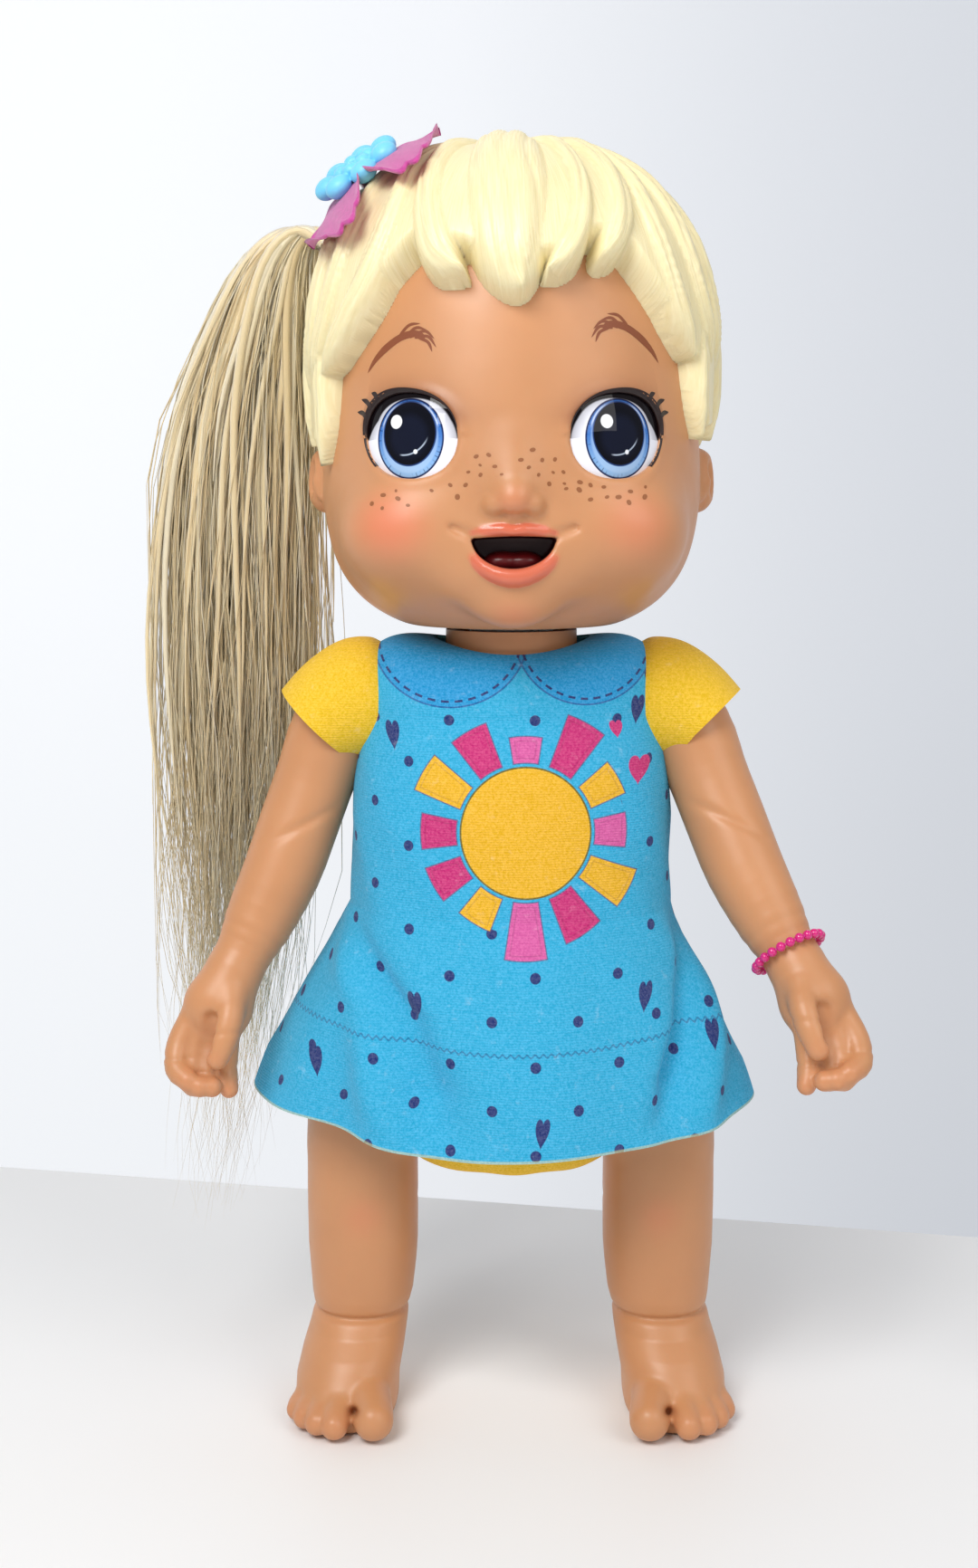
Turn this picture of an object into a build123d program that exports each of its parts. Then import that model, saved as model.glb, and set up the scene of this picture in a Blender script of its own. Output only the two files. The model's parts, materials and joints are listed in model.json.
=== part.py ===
"""Interactive baby doll: vinyl head and limbs on a hollow torso that holds the electronics.

Millimetres, +Z up, the face looks along -Y. The origin is on the floor, in the middle of the doll's box.
Left and right are the doll's own: its left arm is on the +X side and wears the bracelet.
"""

import os

from build123d import *

os.makedirs("parts", exist_ok=True)

# ---- driving dimensions ---------------------------------------------------------------------------
WALL = 2.6  # moulded vinyl and shell wall
FIT = 0.05  # radial running clearance of a shaft in its bore
GAP = 0.35  # clearance between pieces that only pass each other

HIP_Z = 104.0  # hip axis height
HIP_DISC_R = 20.5  # round top of a leg
LEG_INNER_X = 30.0  # inner face of a leg
HIP_BLOCK_X = 27.5  # half width of the torso between the legs
HIP_LEDGE_Z = 129.5  # underside of the torso over the legs
HIP_AXLE_R = 6.0

SHOULDER_Z = 228.0
SHOULDER_DISC_R = 15.0
ARM_INNER_X = 42.4
SHOULDER_AXLE_R = 5.0
LEFT_ARM_SWING = 11.0  # degrees that the left arm stands further forward than the right one

NECK_R = 20.5
NECK_TOP_Z = 251.0
SPINDLE_R = 11.0

HEAD_MID_Z = 318.0
CAP_R = 63.6
NOSE_TIP_Y = -CAP_R

EYE_X = 29.6
EYE_Z = 308.5
EYE_R = 15.0
MOUTH_Z = 275.0
MOUTH_HALF_W = 11.4
MOUTH_HALF_H = 4.1

CELL_R = 7.2
CELL_LEN = 50.5
CELL_PITCH = 15.6
TRAY_BACK_Y = 21.4
TRAY_FRONT_Y = 6.0
TRAY_BOTTOM_Z = 140.0
TRAY_TOP_Z = 207.0
TRAY_HALF_X = 24.2


def save(part, name):
    """Labels one finished piece and writes it under that name."""
    part.label = name
    export_step(part, f"parts/{name}.step")


def both_sides(part, name):
    """Writes a piece of the doll's left side, and its mirror image for the right side."""
    save(part, f"{name}_left")
    save(mirror(part, about=Plane.YZ), f"{name}_right")


def lofted(sections, grow=0.0, end_grow=0.0, straight=False):
    """A solid through flat ellipses: (z, half width, half depth, centre x, centre y)."""
    last = len(sections) - 1
    with BuildPart() as body:
        for number, (z, half_x, half_y, x, y) in enumerate(sections):
            end = {0: -end_grow, last: end_grow}.get(number, 0.0)
            with BuildSketch(Plane.XY.offset(z + end)):
                with Locations((x, y)):
                    Ellipse(half_x + grow, half_y + grow)
        loft(ruled=straight)
    return body.part


def turned(points):
    """A solid of revolution about Z: points are (radius, z) of a smooth outline, bottom to top."""
    bottom, top = points[0], points[-1]
    with BuildPart() as body:
        with BuildSketch(Plane.XZ):
            with BuildLine():
                Spline(*points)
                Polyline(top, (0, top[1]), (0, bottom[1]), bottom)
            make_face()
        revolve(axis=Axis.Z)
    return body.part


# ---- torso: two half shells --------------------------------------------------------------------
TORSO = [
    (82.0, 20, 16, 0, 0),
    (88.0, 36, 26, 0, 0),
    (106.0, 43, 31, 0, 0),
    (135.0, 44, 32, 0, 0),
    (165.0, 42, 31, 0, 0),
    (195.0, 43, 30.5, 0, 0),
    (215.0, 43.5, 27.5, 0, 0),
    (232.0, 41, 24.5, 0, 0),
    (241.0, 29, 22, 0, 0),
    (245.0, NECK_R, NECK_R, 0, 0),
]
ACROSS = (0, 90, 0)  # turns a cylinder along X
DEEP = (90, 0, 0)  # turns a cylinder along Y
BOSS_X = 33.0
BOSS_HEIGHTS = (150.0, 203.0)
BOSSES = [(side * BOSS_X, z) for side in (-1, 1) for z in BOSS_HEIGHTS]
SCREW_R = 1.4
SWITCH_Z = 215.0
SPEAKER_Z = 178.0
DOOR_SCREW_Z = 203.6
FAR = 60.0


def torso_solid(grow):
    """The torso's outline grown by grow, narrowed to the hip block under the ledge."""
    ledge = HIP_LEDGE_Z - grow
    with BuildPart() as solid:
        add(lofted(TORSO, grow, grow))
        with Locations((0, 0, NECK_TOP_Z - 4)):
            Cylinder(NECK_R + grow, 8)
        for side in (-1, 1):
            with Locations((side * (HIP_BLOCK_X + grow + FAR / 2), 0, ledge - FAR / 2)):
                Box(FAR, 2 * FAR, FAR, mode=Mode.SUBTRACT)
    return solid.part


outer_torso = torso_solid(0)
with BuildPart() as torso:
    add(outer_torso)
    add(torso_solid(-WALL), mode=Mode.SUBTRACT)
    # flats that the arms turn against, with a bearing boss behind each
    for side in (-1, 1):
        with Locations((side * (ARM_INNER_X - GAP + 5), 0, SHOULDER_Z)):
            Cylinder(SHOULDER_DISC_R + 1.0, 10, rotation=ACROSS, mode=Mode.SUBTRACT)
        with Locations((side * 38.4, 0, SHOULDER_Z)):
            Cylinder(SHOULDER_AXLE_R + 3.0, 7.2, rotation=ACROSS)
    with Locations((0, 0, SHOULDER_Z)):
        Cylinder(SHOULDER_AXLE_R + FIT, 100, rotation=ACROSS, mode=Mode.SUBTRACT)
    with Locations((0, 0, HIP_Z)):
        Cylinder(HIP_AXLE_R + FIT, 80, rotation=ACROSS, mode=Mode.SUBTRACT)
    # neck bore for the spindle's bushing
    with Locations((0, 0, NECK_TOP_Z)):
        Cylinder(SPINDLE_R + 2.0, 20, mode=Mode.SUBTRACT)
    # screw bosses, bored from the back
    for x, z in BOSSES:
        with BuildPart(mode=Mode.PRIVATE) as boss:
            with Locations((x, -4, z)):
                Cylinder(3.5, 39, rotation=DEEP)
            add(outer_torso, mode=Mode.INTERSECT)
        add(boss.part)
        with Locations((x, 2, z)):
            Cylinder(SCREW_R, 30, rotation=DEEP, mode=Mode.SUBTRACT)
        with Locations((x, 28, z)):
            Cylinder(3.0, 30, rotation=DEEP, mode=Mode.SUBTRACT)
    # battery opening, switch slot and speaker grille
    with Locations((0, 32, (TRAY_BOTTOM_Z + TRAY_TOP_Z) / 2)):
        Box(2 * TRAY_HALF_X + 2, 24, TRAY_TOP_Z - TRAY_BOTTOM_Z + 2, mode=Mode.SUBTRACT)
    with Locations((0, 28, SWITCH_Z)):
        Box(12, 14, 5, mode=Mode.SUBTRACT)
    with Locations((0, -28, SPEAKER_Z)):
        with Locations(*[(7 * i, 0, 7 * k) for i in (-1, 0, 1) for k in (-1, 0, 1)]):
            Cylinder(1.5, 14, rotation=DEEP, mode=Mode.SUBTRACT)

for name, side in (("torso_front", -1), ("torso_back", 1)):
    with BuildPart() as half:
        add(torso.part)
        with Locations((0, side * FAR, 160)):
            Box(3 * FAR, 2 * FAR, 240, mode=Mode.INTERSECT)
    save(half.part, name)

with BuildPart() as screws:
    for x, z in BOSSES:
        with Locations((x, 2.5, z)):
            Cylinder(SCREW_R, 21, rotation=DEEP)
        with Locations((x, 14.1, z)):
            Cylinder(2.7, 2.2, rotation=DEEP)
save(screws.part, "shell_screws")

with BuildPart() as bushing:
    with Locations((0, 0, NECK_TOP_Z - 1.3)):
        Cylinder(SPINDLE_R + 2.0, 2.6)
    with Locations((0, 0, NECK_TOP_Z - 3.65)):
        Cylinder(SPINDLE_R + 5.0, 2.1)
    with Locations((0, 0, NECK_TOP_Z)):
        Cylinder(SPINDLE_R + FIT, 20, mode=Mode.SUBTRACT)
save(bushing.part, "neck_bushing")

# ---- batteries, door and switch ------------------------------------------------------------------
CELL_Y = 13.7
CELL_BOTTOM_Z = 145.5
CELL_XS = (-CELL_PITCH, 0.0, CELL_PITCH)
BAY_R = CELL_R + 0.2
BAY_BOTTOM_Z = 142.5
BAY_TOP_Z = 199.5

with BuildPart() as tray:
    with Locations((0, (TRAY_FRONT_Y + TRAY_BACK_Y) / 2, (TRAY_BOTTOM_Z + TRAY_TOP_Z) / 2)):
        Box(2 * TRAY_HALF_X, TRAY_BACK_Y - TRAY_FRONT_Y, TRAY_TOP_Z - TRAY_BOTTOM_Z)
    for x in CELL_XS:
        with Locations((x, CELL_Y, (BAY_BOTTOM_Z + BAY_TOP_Z) / 2)):
            Cylinder(BAY_R, BAY_TOP_Z - BAY_BOTTOM_Z, mode=Mode.SUBTRACT)
            with Locations((0, 10, 0)):
                Box(2 * BAY_R, 20, BAY_TOP_Z - BAY_BOTTOM_Z, mode=Mode.SUBTRACT)
    with Locations((0, TRAY_BACK_Y, DOOR_SCREW_Z)):
        Cylinder(SCREW_R + 0.1, 12, rotation=DEEP, mode=Mode.SUBTRACT)
save(tray.part, "battery_tray")

for number, x in enumerate(CELL_XS, 1):
    with BuildPart() as cell:
        with Locations((x, CELL_Y, CELL_BOTTOM_Z + (CELL_LEN - 1.5) / 2)):
            Cylinder(CELL_R, CELL_LEN - 1.5)
        fillet(cell.edges().filter_by(GeomType.CIRCLE), 0.6)
        with Locations((x, CELL_Y, CELL_BOTTOM_Z + CELL_LEN - 0.75)):
            Cylinder(2.7, 1.5)
    save(cell.part, f"battery_{number}")

for name, low, high in (
    ("battery_contacts_lower", BAY_BOTTOM_Z, CELL_BOTTOM_Z),
    ("battery_contacts_upper", CELL_BOTTOM_Z + CELL_LEN, BAY_TOP_Z),
):
    plate = 0.5
    outward = plate / 2 if low < 170 else high - low - plate / 2
    with BuildPart() as contacts:
        for x in CELL_XS:
            with Locations((x, CELL_Y, low + outward)):
                Box(9, 9, plate)
            with Locations((x, CELL_Y, (low + high) / 2)):
                Cylinder(2.0, high - low)
    save(contacts.part, name)

with BuildPart() as door:
    add(outer_torso)
    add(torso_solid(-2.0), mode=Mode.SUBTRACT)
    with Locations((0, 30, (TRAY_BOTTOM_Z + TRAY_TOP_Z) / 2)):
        Box(2 * TRAY_HALF_X + 1.3, 40, TRAY_TOP_Z - TRAY_BOTTOM_Z + 1.3, mode=Mode.INTERSECT)
    with Locations((0, 30, DOOR_SCREW_Z)):
        Cylinder(SCREW_R + 0.1, 20, rotation=DEEP, mode=Mode.SUBTRACT)
save(door.part, "battery_door")

with BuildPart() as door_screw:
    with Locations((0, 24.7, DOOR_SCREW_Z)):
        Cylinder(SCREW_R, 11.4, rotation=DEEP)
    with Locations((0, 31.0, DOOR_SCREW_Z)):
        Cylinder(2.6, 1.6, rotation=DEEP)
        with Locations((0, 0.8, 0)):
            Box(4.2, 1.0, 0.8, mode=Mode.SUBTRACT)
save(door_screw.part, "door_screw")

SWITCH_TRAVEL = 4.0
with BuildPart() as switch_body:
    with Locations((0, 20.3, SWITCH_Z)):
        Box(15, 6.4, 7)
    with Locations((0, 22.6, SWITCH_Z)):
        Box(SWITCH_TRAVEL + 5.4, 3, 4.4, mode=Mode.SUBTRACT)
save(switch_body.part, "power_switch_body")
with BuildPart() as knob:
    with Locations((-SWITCH_TRAVEL / 2, 24.9, SWITCH_Z)):
        Box(4.8, 6.8, 3.8)
    fillet(knob.edges().filter_by(Axis.Y), 0.6)
save(knob.part, "power_switch_knob")

# ---- circuit board, speaker and leads ------------------------------------------------------------
with BuildPart() as board:
    with Locations((0, -0.8, 165)):
        Box(54, 1.6, 52)
save(board.part, "circuit_board")
with BuildPart() as chips:
    for x, z, wide, deep, tall in (
        (-14, 150, 12, 2.0, 12),
        (12, 147, 6, 4.0, 6),
        (22, 150, 5, 3.0, 9),
        (-22, 176, 6, 4.0, 8),
    ):
        with Locations((x, -1.6 - deep / 2, z)):
            Box(wide, deep, tall)
    with Locations((0, -0.8, 193.5)):
        Box(8, 4, 5)
save(chips.part, "board_components")

SPEAKER_R = 17.5
SPEAKER_FRONT_Y = -24.0
with BuildPart() as speaker_frame:
    with BuildSketch(Plane.YZ):
        with BuildLine():
            Polyline(
                (SPEAKER_FRONT_Y, 15.5),
                (SPEAKER_FRONT_Y, SPEAKER_R),
                (SPEAKER_FRONT_Y + 1.5, SPEAKER_R),
                (-15.0, 10.0),
                (-15.0, 8.0),
                (SPEAKER_FRONT_Y + 1.6, 15.5),
                close=True,
            )
        make_face()
    revolve(axis=Axis.Y)
save(speaker_frame.part.moved(Location((0, 0, SPEAKER_Z))), "speaker_frame")
with BuildPart() as speaker_cone:
    with BuildSketch(Plane.YZ):
        with BuildLine():
            Polyline(
                (SPEAKER_FRONT_Y + 0.4, 15.4),
                (SPEAKER_FRONT_Y + 1.2, 15.4),
                (-17.6, 5.0),
                (-18.6, 0.0),
                (-19.4, 0.0),
                (-18.8, 5.0),
                close=True,
            )
        make_face()
    revolve(axis=Axis.Y)
save(speaker_cone.part.moved(Location((0, 0, SPEAKER_Z))), "speaker_cone")
with BuildPart() as magnet:
    with Locations((0, -12.0, SPEAKER_Z)):
        Cylinder(9.0, 5.9, rotation=DEEP)
save(magnet.part, "speaker_magnet")


def lead(points, radius, bend):
    """A wire of round section along straight runs joined by arcs."""
    with BuildPart() as wire:
        with BuildLine() as route:
            FilletPolyline(*points, radius=bend)
        with BuildSketch(Plane(origin=route.line @ 0, z_dir=route.line % 0)):
            Circle(radius)
        sweep()
    return wire.part


battery_leads = [
    lead([(x, 5.9, 172), (x, 3.0, 172), (x, 3.0, 180), (x, 0.1, 180)], 0.6, 1.2) for x in (-20, 20)
]
with BuildPart() as leads:
    add(battery_leads)
save(leads.part, "battery_leads")
save(
    lead([(4, -9.0, 172), (4, -6.5, 172), (4, -6.5, 160), (4, -1.7, 160)], 0.6, 2.0), "speaker_lead"
)

# ---- neck spindle and head lead -------------------------------------------------------------------
COLLAR_R = 18.0
with BuildPart() as spindle:
    with Locations((0, 0, 250.3)):
        Cylinder(SPINDLE_R, 14.4)
    with Locations((0, 0, NECK_TOP_Z - 6.5)):
        Cylinder(SPINDLE_R + 4.5, 3.0)
    with Locations((0, 0, 253.2)):
        Cylinder(COLLAR_R, 3.4)
    with Locations((0, 0, 250)):
        Cylinder(7.0, 40, mode=Mode.SUBTRACT)
save(spindle.part, "neck_spindle")
with BuildPart() as retainer:
    with Locations((0, 0, 256.1)):
        Cylinder(25.0, 2.0)
        Cylinder(SPINDLE_R, 2.0, mode=Mode.SUBTRACT)
save(retainer.part, "neck_retainer")
save(lead([(0, 0, 196.1), (0, 0, 272), (0, -25.1, 272)], 1.2, 10.0), "head_lead")

# ---- head: skin, eyes and mouth -------------------------------------------------------------------
SKIN = [
    (22.0, 252.0),
    (34.0, 253.4),
    (46.5, 261.0),
    (54.5, 273.0),
    (58.0, 291.0),
    (57.4, 310.0),
    (55.5, 330.0),
    (51.5, 350.0),
    (43.0, 368.0),
    (30.0, 380.5),
    (14.0, 387.5),
    (6.0, 388.6),
]
CAP = [
    (60.2, 270.0),
    (62.4, 290.0),
    (63.4, 315.0),
    (CAP_R, 335.0),
    (61.8, 352.0),
    (56.0, 369.0),
    (44.5, 384.0),
    (28.0, 394.0),
    (12.0, 397.8),
    (5.0, 398.2),
]


def inset(points, depth):
    """An outline of revolution drawn in by depth, about the middle of the head."""
    shrink = 1 - depth / 68.0
    return [(r - depth, HEAD_MID_Z + (z - HEAD_MID_Z) * shrink) for r, z in points]


EAR_X = 55.5
EAR_Y = 5.0
EAR_Z = 298.0
EAR_R = 8.0
EYE_TURN = 24.0  # degrees that each eye looks outwards
head_inside = turned(inset(SKIN, WALL))


def eye_plane(side, depth):
    """A plane square to one eye's axis, depth in front of the skin's surface."""
    n = Vector(0, -1, 0).rotate(Axis.Z, side * EYE_TURN)
    return Plane(origin=Vector(side * EYE_X, -49.4, EYE_Z) + n * depth, x_dir=(0, 0, 1), z_dir=n)


ROOT_N = Vector(-0.75, 0.32, 0.58).normalized()  # way out of the ponytail's plug
ROOT = Vector(-52.0, 22.0, 369.0)
PLUG_R = 8.0


def plug_cylinder(radius, low, high):
    """A cylinder on the plug's axis between two depths from the cap's surface."""
    with BuildPart() as solid:
        with BuildSketch(Plane(origin=ROOT + ROOT_N * low, z_dir=ROOT_N)):
            Circle(radius)
        extrude(amount=high - low)
    return solid.part


with BuildPart() as head_shell:
    add(turned(SKIN))
    with Locations((0, NOSE_TIP_Y + 9.0, 290.5)):
        Sphere(9.0)
    with Locations((-EAR_X, EAR_Y, EAR_Z), (EAR_X, EAR_Y, EAR_Z)):
        Sphere(EAR_R)
    add(head_inside, mode=Mode.SUBTRACT)
    with Locations((0, 0, 254)):
        Cylinder(COLLAR_R + 0.2, 12, mode=Mode.SUBTRACT)
    for side in (-1, 1):
        with BuildSketch(eye_plane(side, -12)):
            Circle(EYE_R - 0.7)
        extrude(amount=30, mode=Mode.SUBTRACT)
    with BuildSketch(Plane.XZ.offset(40)):
        with Locations((0, MOUTH_Z)):
            Ellipse(MOUTH_HALF_W, MOUTH_HALF_H)
    extrude(amount=40, mode=Mode.SUBTRACT)
    add(plug_cylinder(PLUG_R, -20, 10), mode=Mode.SUBTRACT)
save(head_shell.part, "head_shell")

LENS_R = 18.0
LENS_FRONT = 2.0
EYE_BACK = -8.0


def eye_cap(side, outer, inner):
    """A round-edged slice of a hollow ball in one eye opening."""
    with BuildPart() as cap:
        with Locations(eye_plane(side, LENS_FRONT - LENS_R).origin):
            Sphere(outer)
            Sphere(inner, mode=Mode.SUBTRACT)
        with BuildSketch(eye_plane(side, EYE_BACK)):
            Circle(EYE_R - 1.0)
        extrude(amount=12, mode=Mode.INTERSECT)
    return cap.part


for side, word in ((1, "left"), (-1, "right")):
    save(eye_cap(side, LENS_R, LENS_R - 1.4), f"eye_lens_{word}")
    save(eye_cap(side, LENS_R - 1.5, LENS_R - 3.2), f"eye_shell_{word}")

with BuildPart() as eye_holder:
    for side in (-1, 1):
        with BuildSketch(eye_plane(side, EYE_BACK - 2.6)):
            Circle(EYE_R + 1.0)
        extrude(amount=2.5)
    with Locations((0, -39.5, EYE_Z)):
        Box(50, 3, 8)
save(eye_holder.part, "eye_holder")

CUP_BACK_Y = -36.0
with BuildPart() as mouth_cup:
    with BuildSketch(Plane.XZ.offset(-CUP_BACK_Y)):
        with Locations((0, MOUTH_Z)):
            Ellipse(MOUTH_HALF_W + 1.5, MOUTH_HALF_H + 1.5)
    extrude(amount=20)
    with BuildSketch(Plane.XZ.offset(1.5 - CUP_BACK_Y)):
        with Locations((0, MOUTH_Z)):
            Ellipse(MOUTH_HALF_W, MOUTH_HALF_H)
    extrude(amount=20, mode=Mode.SUBTRACT)
    with BuildSketch(Plane.XZ.offset(-CUP_BACK_Y - 1)):
        with Locations((0, MOUTH_Z - 0.6)):
            Ellipse(6.8, 2.9)
    extrude(amount=5, mode=Mode.SUBTRACT)
    add(head_inside, mode=Mode.INTERSECT)
save(mouth_cup.part, "mouth_cup")

with BuildPart() as tongue:
    with BuildSketch(Plane.XZ.offset(33.0)):
        with Locations((0, MOUTH_Z - 0.6)):
            Ellipse(6.5, 2.6)
    extrude(amount=8.5)
    fillet(tongue.edges().sort_by(Axis.Y)[0], 0.8)
    with Locations((0, -31.2, MOUTH_Z - 0.6)):
        Cylinder(1.7, 3.8, rotation=DEEP)
save(tongue.part, "tongue_plunger")
with BuildPart() as mouth_switch:
    with Locations((0, -29.0, MOUTH_Z - 0.6)):
        Box(7, 4.2, 7)
    with Locations((0, -29.5, MOUTH_Z - 0.6)):
        Cylinder(1.75, 4.0, rotation=DEEP, mode=Mode.SUBTRACT)
save(mouth_switch.part, "mouth_switch")
with BuildPart() as mouth_board:
    with Locations((0, -26.0, MOUTH_Z)):
        Box(16, 1.6, 12)
save(mouth_board.part, "mouth_switch_board")

# ---- hair cap, ponytail and clip ------------------------------------------------------------------
FACE_WINDOW = [
    (-70, 230),
    (-70, 299),
    (-60, 300),
    (-56.5, 335),
    (-33.5, 359),
    (-27, 355),
    (-16, 358),
    (-4, 352),
    (0.5, 347.5),
    (6, 352),
    (19, 355),
    (21.5, 359),
    (33, 360),
    (50, 332),
    (53.5, 314),
    (57, 304),
    (70, 303),
    (70, 230),
]
NAPE_FRONT_Y = 14.0
CLIP_N = Vector(-0.55, -0.05, 0.83).normalized()
CLIP_ALONG = Vector(0.83, 0, 0.55).normalized()
CLIP_AT = Vector(-43.5, -4.0, 384.6)
cap_outside = turned(CAP)


def clip_plane(depth):
    """A plane along the clip, depth outside the cap."""
    return Plane(origin=CLIP_AT + CLIP_N * depth, x_dir=CLIP_ALONG, z_dir=CLIP_N)


PIN_R = 2.0
with BuildPart() as hair_cap:
    add(cap_outside)
    add(turned(inset(SKIN, -0.15)), mode=Mode.SUBTRACT)
    with BuildSketch(Plane.XZ.offset(2)):
        with BuildLine():
            Polyline(*FACE_WINDOW, close=True)
        make_face()
    extrude(amount=80, mode=Mode.SUBTRACT)
    with Locations((0, NAPE_FRONT_Y - 50, 270)):
        Box(160, 100, 60, mode=Mode.SUBTRACT)
    with Locations((-EAR_X, EAR_Y, EAR_Z), (EAR_X, EAR_Y, EAR_Z)):
        Sphere(EAR_R + 0.8, mode=Mode.SUBTRACT)
    add(plug_cylinder(PLUG_R, -20, 10), mode=Mode.SUBTRACT)
    with BuildSketch(clip_plane(-4)):
        Circle(PIN_R)
    extrude(amount=12, mode=Mode.SUBTRACT)
save(hair_cap.part, "hair_cap")

PLUG_FLANGE = 2.6
with BuildPart() as plug:
    add(plug_cylinder(PLUG_R - 0.05, -8, PLUG_FLANGE))
    add(plug_cylinder(PLUG_R + 2, 0.9, PLUG_FLANGE))
save(plug.part, "ponytail_plug")

# (centre, way along the hair, half width, half depth)
TAIL = [
    (ROOT + ROOT_N * (PLUG_FLANGE + 0.05), ROOT_N, 7.5, 7.5),
    (Vector(-66.0, 28.0, 376), Vector(-1, 0.25, 0), 9, 9),
    (Vector(-77, 30.5, 363), Vector(-0.6, 0.1, -0.8), 13, 11),
    (Vector(-82.5, 31.5, 335), Vector(-0.15, 0, -1), 17, 11),
    (Vector(-84.5, 31.5, 295), Vector(0, 0, -1), 19, 11),
    (Vector(-85, 31.0, 240), Vector(0, 0, -1), 19, 10.5),
    (Vector(-86, 29.0, 185), Vector(0, 0, -1), 17.5, 9),
    (Vector(-89, 27.0, 130), Vector(0, 0, -1), 13, 7),
    (Vector(-89, 26.0, 90), Vector(0, 0, -1), 8, 5),
    (Vector(-89, 26.0, 55), Vector(0, 0, -1), 3.5, 3),
]
with BuildPart() as ponytail:
    for centre, along, half_x, half_y in TAIL:
        with BuildSketch(Plane(origin=centre, x_dir=along.cross(Vector(0, 1, 0)), z_dir=along)):
            Ellipse(half_x, half_y)
    loft()
save(ponytail.part, "ponytail")

PETAL_T = 1.6
with BuildPart() as petals:
    add(turned(inset(CAP, -0.25 - PETAL_T)))
    add(turned(inset(CAP, -0.25)), mode=Mode.SUBTRACT)
    with BuildSketch(clip_plane(-40)):
        Ellipse(31, 11)
    extrude(amount=50, mode=Mode.INTERSECT)
    with BuildSketch(clip_plane(-20)):
        Circle(PIN_R)
    extrude(amount=40, mode=Mode.SUBTRACT)
save(petals.part, "clip_petals")
with BuildPart() as flower:
    with BuildSketch(clip_plane(3.2)):
        Circle(7)
        with PolarLocations(8.0, 7):
            Circle(3.2)
        Circle(PIN_R, mode=Mode.SUBTRACT)
    extrude(amount=3.2)
save(flower.part, "clip_flower")
with BuildPart() as pin:
    with BuildSketch(clip_plane(-3.6)):
        Circle(PIN_R - 0.05)
    extrude(amount=10.4)
save(pin.part, "clip_pin")

# ---- arms, hubs and bracelet ---------------------------------------------------------------------
# (centre, way along the arm, radius), from the shoulder to the fingertips of the left arm
ARM = [
    (Vector(ARM_INNER_X, 0, SHOULDER_Z), Vector(1, 0, 0), SHOULDER_DISC_R),
    (Vector(47.5, 0, SHOULDER_Z - 0.2), Vector(1, 0, -0.12), SHOULDER_DISC_R - 0.2),
    (Vector(54.5, 0, 224.5), Vector(0.75, 0, -0.66), 13.8),
    (Vector(60, -0.7, 213), Vector(0.35, -0.08, -0.93), 12.8),
    (Vector(64.5, -3, 197), Vector(0.28, -0.17, -0.94), 12.2),
    (Vector(71.5, -8, 176), Vector(0.38, -0.28, -0.88), 11.8),
    (Vector(80, -14, 158), Vector(0.42, -0.32, -0.85), 10.2),
    (Vector(84, -17, 150), Vector(0.42, -0.32, -0.85), 9.0),
    (Vector(88.5, -20.2, 141), Vector(0.42, -0.3, -0.86), 10.2),
    (Vector(93, -23, 130), Vector(0.3, -0.2, -0.93), 11.2),
    (Vector(95, -24.5, 120), Vector(0.15, -0.15, -0.97), 8.5),
    (Vector(95.5, -25.5, 113.5), Vector(0.1, -0.15, -0.97), 4.0),
]
WRIST = 7  # the section that the bracelet sits on


def arm_loft(first, last, inward):
    """The arm's outline between two of its sections, drawn in by inward."""
    with BuildPart() as solid:
        for centre, along, radius in ARM[first : last + 1]:
            with BuildSketch(Plane(origin=centre, x_dir=(0, 1, 0), z_dir=along)):
                Circle(radius - inward)
        loft()
    return solid.part


HUB_PLATE = 3.0
with BuildPart() as arm:
    add(arm_loft(0, len(ARM) - 1, 0))
    add(arm_loft(1, WRIST, WALL), mode=Mode.SUBTRACT)
    with Locations((ARM_INNER_X + 3, 0, SHOULDER_Z)):
        Cylinder(10.5, 6.2, rotation=ACROSS, mode=Mode.SUBTRACT)
    thumb = Plane(origin=(88, -33, 129), z_dir=(0.25, -0.15, -0.9))
    with BuildSketch(thumb.offset(-8)):
        Circle(3.6)
    extrude(amount=16)
    with Locations(thumb.offset(8).origin, thumb.offset(-8).origin):
        Sphere(3.6)
with BuildPart() as shoulder_hub:
    with Locations((ARM_INNER_X + HUB_PLATE / 2, 0, SHOULDER_Z)):
        Cylinder(10.45, HUB_PLATE, rotation=ACROSS)
    with Locations((38.0, 0, SHOULDER_Z)):
        Cylinder(SHOULDER_AXLE_R, 10, rotation=ACROSS)
    with Locations((33.1, 0, SHOULDER_Z)):
        Cylinder(SHOULDER_AXLE_R + 2.5, 3, rotation=ACROSS)

BEADS = 22
BEAD_R = 1.5
BEAD_RING_R = 11.0
wrist_at, wrist_along, _ = ARM[WRIST]
wrist_plane = Plane(origin=wrist_at, x_dir=(0, 1, 0), z_dir=wrist_along)
with BuildPart() as elastic:
    with BuildSketch(Plane(origin=wrist_at, x_dir=wrist_along, z_dir=wrist_plane.y_dir)):
        with Locations((0, BEAD_RING_R)):
            Circle(0.45)
    revolve(axis=Axis(wrist_at, wrist_along))
with BuildPart() as beads:
    with Locations(wrist_plane):
        with PolarLocations(BEAD_RING_R, BEADS):
            Sphere(BEAD_R)
    add(elastic.part, mode=Mode.SUBTRACT)

forward = Axis((0, 0, SHOULDER_Z), (-1, 0, 0))
swung = {
    "arm_left": arm,
    "shoulder_hub_left": shoulder_hub,
    "bracelet_elastic": elastic,
    "bracelet_beads": beads,
}
for name, piece in swung.items():
    save(piece.part.rotate(forward, LEFT_ARM_SWING), name)
save(mirror(arm.part, about=Plane.YZ), "arm_right")
save(mirror(shoulder_hub.part, about=Plane.YZ), "shoulder_hub_right")

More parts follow.
